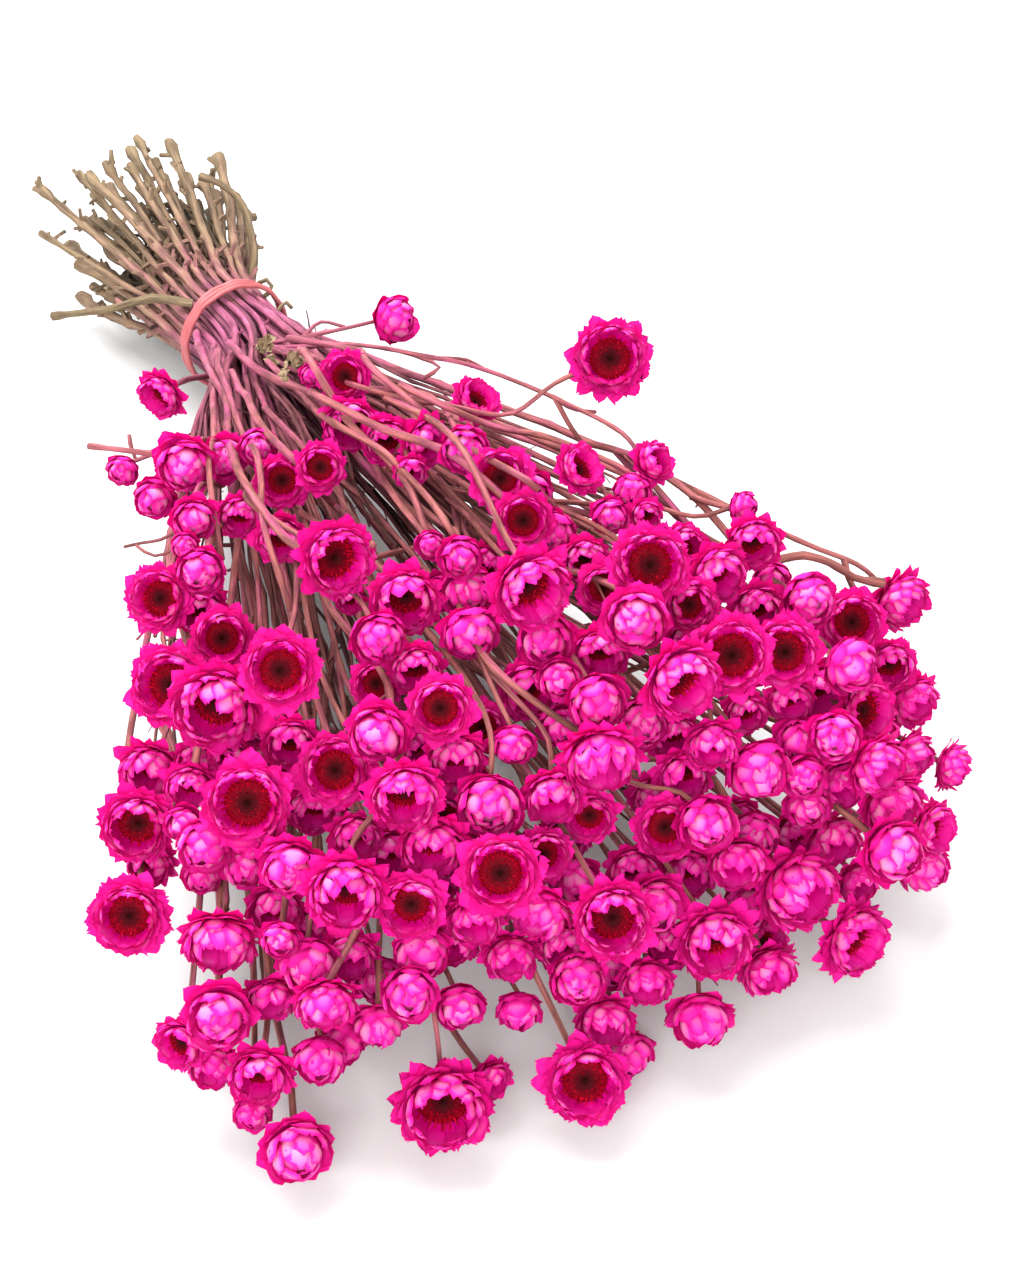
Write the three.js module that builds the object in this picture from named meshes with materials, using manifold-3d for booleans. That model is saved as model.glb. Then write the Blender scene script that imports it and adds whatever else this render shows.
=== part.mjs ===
// A dried winged everlasting bunch, lying on its side: woody branching stems tied by a rubber
// band, with papery bloom heads fanned out in front and knobbly cut ends behind.
// Millimetres, +Z up, +Y from the blooms towards the cut ends, +X to the right.

import * as THREE from 'three';
import Module from 'manifold-3d';

const wasm = await Module();
wasm.setup();

// Driving dimensions of the tied neck
const NECK_RADIUS = 18;
const NECK_HEIGHT = 30;
const STEM_RADIUS = 1.9;
const STALK_RADIUS = 0.95;
const CLEARANCE = 0.34;
const FLOOR_CLEARANCE = 0.4;

// The three rubber rounds, side by side
const BAND_TURN = THREE.MathUtils.degToRad(13);
const BAND_ROUNDS = 3;
const BAND_ROUND_WIDTH = 1.7;
const BAND_THICKNESS = 1.5;
const BAND_GROOVE = 0.55;
const BAND_SIDES = 14;
const BAND_FIT = 0.35;

// The cut ends behind the band
const TAIL_LENGTH = 88;
const TAIL_SHORTEST = 0.7;
const TAIL_FLARE = 1.5;
const TAIL_CURVE = 1.2;
const TAIL_WANDER = 4;
const TAIL_LEAN = 7;
const TAIL_RISE = 6;
const KNOB_SWELL = 1.75;
const KNOB_LENGTH = 7;

// Planes across the stems, measured from the band along +Y
const NECK_STATIONS = [14, -15];
const FAN_STATIONS = [-62, -132, -212];
const FAN_LENGTH = 300;

// A stem thins towards its head, and its last stretch runs straight.
const THINNEST = 0.72;
const STEM_TIP = 0.7;
const LAST_STRETCH = 16;
const WAVE = 2.6;

// How a stem leaves the band and comes in to its head, as shares of the way between them
const LEAVE_TOWARDS = 0.75;
const LEAVE_AHEAD = 0.45;
const ARRIVE_ALONG = 0.35;
const ARRIVE_FACING = 0.4;
const ARRIVE_MOST = 70;

// Where a side stalk forks off, and how it bends up to its head
const FORK_SHARE = 0.6;
const FORK_SPREAD = 6;
const FORK_NEAREST = -24;
const FORK_SWELL = 1.1;
const LONG_STALK = 110;
const STALK_FACING = 0.8;
const STALK_MOST = 60;

// Stems in the tie, the columns they stand in, and the corners of a stem's and a stalk's section
const SPRAYS = 56;
const COLUMNS = 9;
const STEM_SIDES = 4;
const STALK_SIDES = 3;

// Where the photograph was taken from, measured from the floor under the band
const EYE = new THREE.Vector3(-142, -605, 393);
const LOOK_TURN = THREE.MathUtils.degToRad(22);
const LOOK_DOWN = THREE.MathUtils.degToRad(39);
const PHOTO_CENTRE_U = 512;
const PHOTO_CENTRE_V = 640;
const PHOTO_FOCAL = 2060;

const RIGHT = new THREE.Vector3(Math.cos(LOOK_TURN), -Math.sin(LOOK_TURN), 0);
const LEVEL = new THREE.Vector3(Math.sin(LOOK_TURN), Math.cos(LOOK_TURN), 0);
const UP = new THREE.Vector3(0, 0, 1);
const LOOK = LEVEL.clone().multiplyScalar(Math.cos(LOOK_DOWN)).addScaledVector(UP, -Math.sin(LOOK_DOWN));
const IMAGE_UP = LEVEL.clone().multiplyScalar(Math.sin(LOOK_DOWN)).addScaledVector(UP, Math.cos(LOOK_DOWN));

// How far a head has opened: 0 is a bud, 1 lies wide open
const BUD = 0.05;
const SHUT = 0.22;
const CUP = 0.48;
const HALF = 0.7;
const OPEN = 0.95;

// The heads as they stand in the photograph, read by eye region by region. Each row holds u and
// v of its middle and its width, in pixels of the 1024 x 1280 frame, how far it has opened,
// where it faces to the right and down (0 faces the eye), and how far in front of the heap's
// skin it stands, in millimetres (a minus lies behind).
const BACK_HEADS = [
  [393, 320, 45, BUD, 0.8, 0.1, 16], [345, 377, 50, OPEN, -0.2, 0.1, 4], [313, 375, 25, BUD, 0, 0.42, -4],
  [475, 402, 46, OPEN, 0.5, -0.4, -4], [610, 358, 82, OPEN, 0, 0, 58], [163, 393, 50, OPEN, -0.5, 0.6, 0],
  [425, 442, 50, CUP, 0.6, 0.4, -10], [410, 470, 35, CUP, 0.2, 0.72, -14], [320, 467, 48, HALF, 0.1, 0.1, 4],
  [282, 480, 52, OPEN, 0, 0.2, -12], [500, 478, 62, OPEN, -0.1, 0, 0], [523, 520, 58, OPEN, 0, 0.1, -4],
  [578, 470, 50, OPEN, 0.6, -0.3, -2], [653, 462, 42, CUP, 0.6, -0.2, 6], [632, 488, 35, BUD, -0.1, 0.82, 0],
  [742, 507, 30, BUD, 0.7, 0.1, 6], [753, 543, 55, CUP, 0.1, 0.5, 4], [610, 516, 36, BUD, 0, 0.52, -4],
  [645, 515, 35, CUP, 0.1, 0.42, -6],
];
const LEFT_HEADS = [
  [123, 470, 30, BUD, -0.2, 0.6, 2], [185, 465, 60, SHUT, 0.1, 0.6, 4], [155, 498, 40, BUD, -0.1, 0.55, 0],
  [193, 520, 42, SHUT, 0.1, 0.6, -4], [200, 570, 44, BUD, 0, 0.5, -2], [160, 598, 68, OPEN, -0.2, 0, 0],
  [240, 515, 45, CUP, 0, 0.62, -16], [185, 545, 25, BUD, 0.1, 0.52, -10],
  [170, 685, 84, OPEN, -0.1, 0.05, 0], [222, 638, 62, OPEN, 0.1, 0.1, -8], [280, 670, 78, OPEN, 0.05, 0, 6],
  [215, 708, 98, CUP, -0.05, 0.4, 8], [262, 718, 60, BUD, 0.2, 0.52, -10],
  [150, 770, 70, CUP, -0.2, 0.62, -4], [190, 787, 50, CUP, 0, 0.62, -10], [247, 803, 92, OPEN, 0, 0.05, 2],
  [137, 825, 80, HALF, 0, 0.25, 2], [205, 845, 52, BUD, 0, 0.62, -2], [243, 865, 42, BUD, 0.2, 0.52, -10],
  [289, 867, 62, SHUT, 0, 0.62, 2], [129, 916, 82, OPEN, 0, 0.1, 4], [218, 940, 82, CUP, 0, 0.78, 2],
  [275, 908, 60, CUP, 0.1, 0.52, -8], [280, 939, 36, BUD, 0, 0.5, 4], [308, 962, 56, BUD, 0.1, 0.7, 0],
  [326, 1002, 66, CUP, 0, 0.8, 2], [271, 996, 52, CUP, 0.1, 0.75, -4], [219, 1017, 68, SHUT, 0.05, 0.3, 4],
  [182, 1042, 52, OPEN, -0.4, 0.3, -2], [259, 1075, 66, CUP, 0, 0.5, 2], [253, 1112, 36, BUD, 0, 0.6, -4],
  [297, 1150, 70, SHUT, 0.2, 0.45, 0], [320, 1057, 50, BUD, 0, 0.72, 0],
];
const MIDDLE_HEADS = [
  [335, 558, 82, OPEN, 0.45, 0.3, 6], [405, 600, 76, CUP, 0, 0.45, 4], [460, 557, 40, BUD, 0.1, 0.5, 4],
  [430, 545, 28, BUD, 0.1, 0.42, -2], [378, 637, 50, BUD, 0.3, 0.5, 4], [470, 632, 54, BUD, 0.3, 0.6, 0],
  [440, 590, 40, CUP, 0.1, 0.52, -12], [350, 600, 30, CUP, 0.1, 0.62, -12],
  [530, 588, 88, HALF, 0.4, 0.5, 8], [650, 565, 82, OPEN, 0, 0.1, 2], [685, 550, 48, CUP, 0.4, -0.1, -8],
  [636, 620, 68, SHUT, 0.05, 0.35, 12], [603, 588, 50, OPEN, 0, 0.2, -10], [600, 652, 60, CUP, 0, 0.62, 0],
  [690, 605, 52, CUP, 0.1, 0.1, 0], [718, 573, 62, CUP, 0.4, 0.5, 2], [680, 680, 86, HALF, 0.45, 0.45, 10],
  [732, 655, 82, OPEN, -0.1, 0, 2], [785, 652, 72, OPEN, -0.1, 0.1, 0], [545, 640, 50, BUD, 0, 0.52, -8],
  [560, 678, 40, BUD, 0.2, 0.52, -2], [596, 700, 56, BUD, 0.3, 0.6, 0], [563, 725, 45, BUD, 0.1, 0.52, -6],
  [440, 708, 66, OPEN, 0, 0.1, 2], [482, 727, 52, OPEN, 0.1, 0.1, -10], [513, 743, 42, BUD, 0, 0.78, 4],
  [601, 758, 86, CUP, 0.1, 0.82, 6], [553, 795, 62, CUP, 0.1, 0.62, 2], [589, 815, 50, OPEN, 0, 0.3, -10],
  [489, 804, 62, BUD, 0, 0.45, 4], [405, 795, 76, CUP, 0.1, 0.5, 6], [443, 817, 50, OPEN, 0, 0.2, -10],
  [500, 873, 84, OPEN, 0, 0, 4], [543, 855, 52, OPEN, 0.2, 0.2, -12], [335, 770, 78, OPEN, 0.05, 0.05, 2],
  [378, 733, 60, SHUT, -0.2, 0.45, 4], [376, 683, 48, OPEN, 0, 0.2, -12], [345, 893, 88, CUP, 0, 0.5, 8],
  [411, 904, 66, OPEN, 0, 0.2, 0], [230, 755, 40, CUP, 0, 0.52, -16], [285, 765, 40, CUP, 0, 0.52, -18],
  [420, 745, 46, CUP, 0.1, 0.52, -18],
];
const RIGHT_HEADS = [
  [770, 580, 36, BUD, 0.2, 0.42, -6], [808, 600, 50, BUD, 0.3, 0.25, 0], [852, 622, 66, OPEN, 0, 0.1, 2],
  [900, 600, 66, CUP, 0.6, 0.5, 2], [848, 665, 52, BUD, 0.7, 0.35, 0], [890, 665, 52, CUP, 0, 0.35, 0],
  [912, 700, 56, CUP, 0.5, 0.55, 0], [862, 710, 66, OPEN, 0.5, 0.1, 0], [836, 737, 46, BUD, -0.2, 0.4, 6],
  [876, 765, 64, CUP, 0.6, 0.5, 0], [909, 757, 56, CUP, 0.7, 0.45, 0], [950, 765, 46, CUP, 0.85, 0.3, 2],
  [930, 828, 56, OPEN, 0.7, 0.2, -2], [893, 851, 66, SHUT, 0.5, 0.4, 4], [833, 840, 64, CUP, 0.3, 0.65, 0],
  [802, 775, 42, BUD, 0.2, 0.52, 0], [807, 806, 42, BUD, 0.2, 0.62, -2], [757, 768, 60, BUD, 0.4, 0.7, 2],
  [712, 744, 54, CUP, 0, 0.66, 0], [745, 712, 44, CUP, 0.1, 0.52, -10], [790, 700, 46, CUP, 0.1, 0.62, -8],
  [799, 740, 44, BUD, 0.1, 0.52, -8], [798, 890, 95, CUP, 0.4, 0.45, 6], [851, 938, 84, OPEN, 0.6, 0.35, 2],
  [858, 880, 46, CUP, 0.3, 0.62, -8], [738, 862, 62, CUP, 0, 0.66, 0], [715, 942, 84, CUP, 0.1, 0.5, 4],
  [760, 942, 52, OPEN, 0.5, 0.2, -8], [700, 1018, 66, SHUT, 0, 0.78, 2], [665, 827, 62, OPEN, 0, 0.2, -4],
  [706, 822, 55, BUD, 0.2, 0.5, 4],
];
const FRONT_HEADS = [
  [613, 920, 86, HALF, 0.05, 0.2, 6], [652, 905, 64, SHUT, 0.3, 0.52, -6], [577, 978, 52, BUD, 0.1, 0.35, 0],
  [646, 980, 56, CUP, 0, 0.7, 0], [604, 1020, 62, CUP, 0.1, 0.7, 0], [585, 1081, 90, OPEN, 0.05, 0.15, 4],
  [539, 910, 70, CUP, -0.3, 0.82, -4], [510, 955, 56, CUP, 0.1, 0.72, -8],
  [474, 918, 60, CUP, 0.1, 0.62, -2], [519, 1009, 42, BUD, 0, 0.8, 0], [378, 1023, 50, SHUT, 0, 0.8, 0],
  [409, 993, 52, BUD, 0.1, 0.45, 4], [418, 953, 52, BUD, 0.1, 0.72, -2], [459, 1005, 46, BUD, 0.2, 0.6, 2],
  [443, 1106, 104, HALF, 0.05, 0.35, 4], [489, 1079, 44, CUP, 0.5, 0.52, -4],
  [440, 880, 40, CUP, 0, 0.52, -14], [740, 815, 40, CUP, 0, 0.62, -14],
];
// Heads deep in the heap, of which only a part is seen between those above
const DEEP_HEADS = [
  [224, 458, 47, SHUT, 0.1, 0.52, -6], [258, 447, 36, BUD, 0.1, 0.42, -6], [280, 538, 51, CUP, 0, 0.52, -12],
  [198, 608, 56, CUP, 0, 0.52, -12], [350, 425, 56, CUP, 0, 0.52, -10], [387, 440, 51, CUP, 0, 0.52, -14],
  [465, 450, 44, BUD, 0.1, 0.42, -8], [550, 532, 47, BUD, 0, 0.52, -10], [530, 492, 42, BUD, 0, 0.52, -10],
  [483, 566, 51, CUP, 0, 0.62, -12], [585, 560, 49, CUP, 0.1, 0.52, -12],
  [757, 608, 54, CUP, 0.1, 0.52, -10], [806, 632, 51, CUP, 0.2, 0.52, -10],
  [690, 640, 49, CUP, 0.1, 0.52, -14], [822, 692, 61, CUP, 0.2, 0.62, -10],
  [870, 735, 49, BUD, 0.3, 0.52, -8], [200, 760, 51, CUP, 0, 0.62, -14], [290, 742, 54, CUP, 0, 0.52, -12],
  [314, 808, 56, CUP, 0, 0.62, -10], [355, 835, 51, CUP, 0.1, 0.62, -12], [258, 838, 63, CUP, 0, 0.62, -14],
  [183, 822, 34, BUD, 0, 0.52, -6], [150, 862, 51, CUP, -0.1, 0.62, -10],
  [415, 668, 54, CUP, 0.1, 0.52, -10], [530, 690, 66, CUP, 0.1, 0.52, -10],
  [468, 590, 49, BUD, 0.1, 0.52, -12], [455, 758, 61, CUP, 0.1, 0.62, -10],
  [430, 847, 71, CUP, 0, 0.62, -10], [463, 782, 49, BUD, 0.1, 0.62, -12],
  [642, 722, 47, BUD, 0.1, 0.52, -10], [672, 737, 54, CUP, 0.1, 0.62, -12],
  [684, 774, 56, CUP, 0.1, 0.62, -12], [655, 797, 51, CUP, 0, 0.62, -16],
  [752, 835, 49, BUD, 0.1, 0.62, -12], [566, 838, 49, CUP, 0, 0.62, -12],
  [845, 785, 54, CUP, 0.3, 0.62, -10], [890, 803, 68, CUP, 0.5, 0.62, -4],
  [795, 834, 54, CUP, 0.2, 0.62, -12], [922, 866, 51, BUD, 0.6, 0.62, -6],
  [746, 905, 47, BUD, 0.2, 0.62, -10], [203, 874, 39, BUD, 0, 0.62, -8], [312, 926, 51, CUP, 0, 0.62, -12],
  [350, 955, 59, CUP, 0.1, 0.62, -10], [213, 1064, 54, CUP, 0, 0.72, -8],
  [342, 1039, 47, BUD, 0.1, 0.72, -8], [376, 978, 49, BUD, 0, 0.62, -10],
  [464, 850, 59, CUP, 0.1, 0.62, -12], [391, 852, 56, CUP, 0, 0.62, -14], [451, 940, 56, CUP, 0, 0.62, -12],
  [562, 945, 54, CUP, 0.1, 0.62, -12], [574, 880, 49, BUD, 0.1, 0.62, -12],
  [632, 869, 54, CUP, 0.1, 0.62, -14], [687, 872, 61, CUP, 0.1, 0.62, -12],
  [668, 943, 51, CUP, 0, 0.62, -12], [626, 1052, 49, BUD, 0.2, 0.72, -6], [768, 969, 61, CUP, 0.3, 0.72, -6],
  [612, 965, 49, BUD, 0, 0.62, -12],
];
const HEAD_ROWS = [
  ...BACK_HEADS, ...LEFT_HEADS, ...MIDDLE_HEADS, ...RIGHT_HEADS, ...FRONT_HEADS, ...DEEP_HEADS,
];

// Stalks that stand clear of the heap or run over it in full view: the pixel of the head that
// each one carries, and pixels along its way from where it leaves the heap's skin.
const CLEAR_STALKS = [
  { u: 610, v: 358, way: [[380, 420], [450, 428], [510, 412], [556, 383]] },
  { u: 653, v: 462, way: [[330, 344], [400, 351], [470, 364], [560, 402], [624, 434]] },
  { u: 393, v: 320, way: [[300, 330], [350, 328]] },
  { u: 742, v: 507, way: [[600, 480], [650, 505], [700, 517]] },
  { u: 900, v: 600, way: [[770, 552], [815, 547], [860, 566]] },
  { u: 335, v: 558, way: [[226, 405], [237, 475], [258, 518]] },
  { u: 345, v: 893, way: [[330, 695], [345, 752], [370, 790], [353, 845]] },
  { u: 489, v: 804, way: [[428, 642], [454, 690], [464, 742]] },
  { u: 513, v: 743, way: [[470, 590], [485, 650], [498, 700]] },
  { u: 553, v: 795, way: [[497, 640], [522, 690], [546, 738]] },
  { u: 601, v: 758, way: [[520, 640], [555, 688], [588, 720]] },
  { u: 706, v: 822, way: [[640, 742], [665, 760], [688, 790]] },
  { u: 289, v: 867, way: [[240, 748], [266, 785], [277, 832]] },
  { u: 613, v: 920, way: [[556, 818], [576, 858]] },
  { u: 715, v: 942, way: [[650, 850], [684, 890]] },
  { u: 848, v: 665, way: [[745, 572], [782, 612], [822, 638]] },
  { u: 218, v: 940, way: [[165, 848], [186, 880]] },
  { u: 443, v: 1106, way: [[432, 990], [437, 1040]] },
  { u: 585, v: 1081, way: [[545, 945], [558, 1010]] },
];

// The heap's upper skin along the bunch: Y, height on the middle line, X of that line, half width
const HEAP = [
  [40, 34, 0, 44], [0, 48, 0, 46], [-60, 68, 4, 74], [-120, 86, 12, 104], [-180, 98, 18, 122],
  [-230, 96, 20, 128], [-270, 78, 14, 124], [-300, 50, 2, 108], [-322, 16, -2, 84], [-340, -6, -4, 50],
];
const HEAP_EDGE = 14;

// Reaches from the eye within which the skin is looked for
const NEAREST_SIGHT = 380;
const FURTHEST_SIGHT = 900;

// A head's middle above its stalk's end, as shares of its radius, and how flat an open one is
const MIDDLE_SHUT = 0.78;
const MIDDLE_OPEN = 0.34;
const OPEN_FLATNESS = 0.55;

// Whorls hold fewer bracts on a small head: each row holds a radius and the count below it.
const WHORL_COUNTS = [[7.4, 4], [10.8, 5], [Infinity, 6]];
const SHUT_WHORL = 5;

function seeded(seed) {
  let state = seed >>> 0;
  return () => {
    state = (state + 0x6d2b79f5) >>> 0;
    let mixed = Math.imul(state ^ (state >>> 15), 1 | state);
    mixed = (mixed + Math.imul(mixed ^ (mixed >>> 7), 61 | mixed)) ^ mixed;
    return ((mixed ^ (mixed >>> 14)) >>> 0) / 4294967296;
  };
}

const draw = seeded(2976);
const spread = (reach) => (draw() * 2 - 1) * reach;
const vary = (share) => 1 + spread(share);
const lerp = THREE.MathUtils.lerp;
const clamp = THREE.MathUtils.clamp;

// The heap's skin: an arch across the bunch whose height and width follow the table above.
function heapHeight(x, y) {
  let row = 0;
  while (row < HEAP.length - 2 && y < HEAP[row + 1][0]) row += 1;
  const near = HEAP[row];
  const far = HEAP[row + 1];
  const part = clamp((near[0] - y) / (near[0] - far[0]), 0, 1);
  const crest = lerp(near[1], far[1], part);
  const middle = lerp(near[2], far[2], part);
  const half = lerp(near[3], far[3], part);
  const across = (x - middle) / half;
  const edge = Math.min(HEAP_EDGE, crest);
  if (Math.abs(across) > 1) return edge - (Math.abs(across) - 1) * half;
  return edge + (crest - edge) * Math.sqrt(1 - across * across);
}

function rayThrough(u, v) {
  return LOOK.clone()
    .addScaledVector(RIGHT, (u - PHOTO_CENTRE_U) / PHOTO_FOCAL)
    .addScaledVector(IMAGE_UP, (PHOTO_CENTRE_V - v) / PHOTO_FOCAL);
}

// How far along its line of sight a pixel meets the heap's skin, or comes nearest to it where
// the line passes beside it.
function skinDepth(ray) {
  let best = Infinity;
  let depth = 0;
  for (let reach = NEAREST_SIGHT; reach < FURTHEST_SIGHT; reach += 1) {
    const point = EYE.clone().addScaledVector(ray, reach);
    const above = point.z - heapHeight(point.x, point.y);
    if (above < best) {
      best = above;
      depth = reach;
    }
    if (above < 0) break;
  }
  return depth;
}

// A clear stalk draws evenly away from the skin, up to the depth of its head.
function clearWay(pixels, headDepth) {
  const rays = pixels.map(([u, v]) => rayThrough(u, v));
  const setOff = skinDepth(rays[0]);
  return rays.map((ray, index) => (
    EYE.clone().addScaledVector(ray, lerp(setOff, headDepth, index / pixels.length))
  ));
}

function placeHead([u, v, width, open, faceRight, faceDown, lift]) {
  const ray = rayThrough(u, v);
  const depth = skinDepth(ray) - lift;
  const radius = (width / 2) * (depth / PHOTO_FOCAL);
  const towards = Math.sqrt(Math.max(0.02, 1 - faceRight * faceRight - faceDown * faceDown));
  const face = LOOK.clone().multiplyScalar(-towards)
    .addScaledVector(RIGHT, faceRight)
    .addScaledVector(IMAGE_UP, -faceDown)
    .normalize();
  const centre = EYE.clone().addScaledVector(ray, depth);
  const clear = CLEAR_STALKS.find((stalk) => stalk.u === u && stalk.v === v);
  const way = clear ? clearWay(clear.way, depth) : null;
  return { ray: ray.clone().normalize(), centre, face, radius, open, way };
}

const heads = HEAD_ROWS.map(placeHead);

const middleHeight = (head) => lerp(MIDDLE_SHUT, MIDDLE_OPEN, head.open) * head.radius;
const headBase = (head) => head.centre.clone().addScaledVector(head.face, -middleHeight(head));

// A head's reach from its middle: an open one is flatter along its axis.
function reachTowards(head, direction) {
  const along = head.face.dot(direction);
  return head.radius * Math.sqrt(1 - OPEN_FLATNESS * head.open * along * along);
}

// The bundle runs square through the band, a little across the bunch.
const neckMiddle = (y) => -y * Math.tan(BAND_TURN);

// Places of the stems inside the band, from the middle outwards.
function neckPlaces() {
  const golden = Math.PI * (3 - Math.sqrt(5));
  return Array.from({ length: SPRAYS }, (_, index) => {
    const out = (NECK_RADIUS - STEM_RADIUS) * Math.sqrt((index + 0.5) / SPRAYS);
    return { x: Math.cos(index * golden) * out, z: Math.sin(index * golden) * out };
  });
}

// Splits a sorted list into runs as even as can be.
function evenRuns(list, count) {
  const runs = [];
  for (let index = 0; index < count; index += 1) {
    const from = Math.round((index * list.length) / count);
    const to = Math.round(((index + 1) * list.length) / count);
    runs.push(list.slice(from, to));
  }
  return runs;
}

// The spray that runs closest by where a clear stalk sets off.
function nearestSpray(sprays, { way }) {
  const neck = new THREE.Vector3(0, 0, NECK_HEIGHT);
  const setOff = way[0].clone().sub(neck).normalize();
  const turn = ({ heads: [head] }) => head.centre.clone().sub(neck).normalize().dot(setOff);
  return sprays.reduce((a, b) => (turn(a) > turn(b) ? a : b));
}

// Heads that lie in one direction from the band share a stem, and the stems keep their order
// through the band, so that none has to cross its neighbours.
function groupSprays() {
  const bearing = (head) => Math.atan2(head.centre.x, -head.centre.y);
  const rise = (head) => {
    const level = Math.hypot(head.centre.x, head.centre.y);
    return Math.atan2(head.centre.z - NECK_HEIGHT, level);
  };
  const packed = heads.filter((head) => !head.way);
  const columns = evenRuns(packed.sort((a, b) => bearing(a) - bearing(b)), COLUMNS);
  const placeColumns = evenRuns(neckPlaces().sort((a, b) => a.x - b.x), COLUMNS);
  const sprays = [];
  columns.forEach((column, index) => {
    const places = placeColumns[index].sort((a, b) => a.z - b.z);
    const bunches = evenRuns([...column].sort((a, b) => rise(a) - rise(b)), places.length);
    bunches.forEach((bunch, row) => sprays.push({ place: places[row], heads: bunch }));
  });
  heads.filter((head) => head.way).forEach((head) => nearestSpray(sprays, head).heads.push(head));
  return sprays;
}

// Points of the whole bunch that may be moved apart, and the rods between them
const points = [];
const rods = [];

function addPoint(position, spray, options = {}) {
  const point = { position, spray, radius: STALK_RADIUS, station: null, head: null, ...options };
  points.push(point);
  return point;
}

function addRods(limb) {
  for (let index = 1; index < limb.line.length; index += 1) {
    const radius = Math.max(limb.line[index - 1].radius, limb.line[index].radius);
    rods.push({ from: limb.line[index - 1], to: limb.line[index], radius, limb, order: index });
  }
}

// A smooth run from one place and direction to another.
function hermite(from, leave, to, arrive, part) {
  const square = part * part;
  const cube = square * part;
  return new THREE.Vector3()
    .addScaledVector(from, 2 * cube - 3 * square + 1)
    .addScaledVector(leave, cube - 2 * square + part)
    .addScaledVector(to, -2 * cube + 3 * square)
    .addScaledVector(arrive, cube - square);
}

// Where a run crosses a plane across the bunch.
function crossing(from, leave, to, arrive, plane) {
  let low = 0;
  let high = 1;
  for (let step = 0; step < 24; step += 1) {
    const middle = (low + high) / 2;
    if (hermite(from, leave, to, arrive, middle).y > plane) low = middle;
    else high = middle;
  }
  return hermite(from, leave, to, arrive, (low + high) / 2);
}

// The woody stem: knobbly cut end, flared tail, neck, and a run out to the furthest head.
function mainLimb(spray, number) {
  const { place } = spray;
  const ends = spray.heads.filter((head) => !head.way);
  const far = ends.reduce((a, b) => (a.centre.y < b.centre.y ? a : b));
  const radius = STEM_RADIUS * vary(0.12);
  const length = TAIL_LENGTH * lerp(TAIL_SHORTEST, 1, draw());
  const wander = { x: spread(TAIL_WANDER), z: spread(TAIL_WANDER) };
  const tailAt = (y) => {
    const part = y / TAIL_LENGTH;
    const flare = 1 + TAIL_FLARE * part ** TAIL_CURVE;
    const x = place.x * flare + neckMiddle(y) + (TAIL_LEAN + wander.x) * part;
    const z = NECK_HEIGHT + place.z * flare + (TAIL_RISE + wander.z) * part;
    return new THREE.Vector3(x, y, z);
  };
  const { resting } = spray;
  const knob = radius * KNOB_SWELL * vary(0.15);
  const line = [];
  line.push(addPoint(tailAt(length), number, { radius: knob, station: length, resting }));
  const neckOfKnob = length - KNOB_LENGTH;
  line.push(addPoint(tailAt(neckOfKnob), number, { radius, station: neckOfKnob, resting }));
  NECK_STATIONS.forEach((y) => {
    const position = new THREE.Vector3(place.x + neckMiddle(y), y, NECK_HEIGHT + place.z);
    line.push(addPoint(position, number, { radius, station: y }));
  });
  const from = line[line.length - 1].position.clone();
  const to = headBase(far);
  const distance = from.distanceTo(to);
  const leave = to.clone().sub(from).multiplyScalar(LEAVE_TOWARDS);
  leave.y -= LEAVE_AHEAD * distance;
  const arrive = far.face.clone().multiplyScalar(Math.min(ARRIVE_MOST, distance * ARRIVE_FACING))
    .add(to.clone().sub(from).multiplyScalar(ARRIVE_ALONG));
  for (const plane of FAN_STATIONS) {
    if (plane < to.y + LAST_STRETCH) break;
    const thin = lerp(1, THINNEST, clamp(-plane / FAN_LENGTH, 0, 1));
    const position = crossing(from, leave, to, arrive, plane);
    const wave = new THREE.Vector3(spread(WAVE), 0, spread(WAVE));
    line.push(addPoint(position, number, { radius: radius * thin, station: plane, wave }));
  }
  line.push(addPoint(headBase(far), number, { radius: radius * STEM_TIP, head: far }));
  return { line, head: far, sides: STEM_SIDES, root: null };
}

// A side stalk forks off its stem well behind its head.
function sideLimb(head, stem, number) {
  const target = headBase(head);
  const forkY = head.way ? head.way[0].y : target.y * FORK_SHARE + spread(FORK_SPREAD);
  const wanted = Math.min(forkY, FORK_NEAREST);
  let after = stem.line.findIndex((point) => point.station !== null && point.station < wanted);
  if (after < 0) after = stem.line.length - 2;
  const root = { from: stem.line[after - 1], to: stem.line[after], part: 0.5 * vary(0.3) };
  const start = root.from.position.clone().lerp(root.to.position, root.part);
  const heading = root.to.position.clone().sub(root.from.position).normalize();
  const distance = start.distanceTo(target);
  const line = [addPoint(start, number, { radius: STALK_RADIUS * FORK_SWELL, root })];
  const steps = distance > LONG_STALK ? 2 : 1;
  const leave = heading.multiplyScalar(distance);
  const arrive = head.face.clone().multiplyScalar(Math.min(STALK_MOST, distance * STALK_FACING));
  const curve = Array.from({ length: steps }, (_, step) => (
    hermite(start, leave, target, arrive, (step + 1) / (steps + 1))
  ));
  const way = head.way ? head.way.slice(1) : curve;
  way.forEach((place) => line.push(addPoint(place, number, { firm: Boolean(head.way) })));
  line.push(addPoint(target, number, { head }));
  return { line, head, sides: STALK_SIDES, root };
}

const sprays = groupSprays();
const lowest = sprays.reduce((a, b) => (a.place.z < b.place.z ? a : b));
sprays.forEach((spray) => { spray.resting = spray === lowest; });
sprays.forEach((spray, number) => {
  const stem = mainLimb(spray, number);
  spray.limbs = [stem];
  spray.heads.filter((head) => head !== stem.head).forEach((head) => {
    spray.limbs.push(sideLimb(head, stem, number));
  });
  spray.limbs.forEach(addRods);
  spray.heads.forEach((head) => { head.spray = number; });
});

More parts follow.
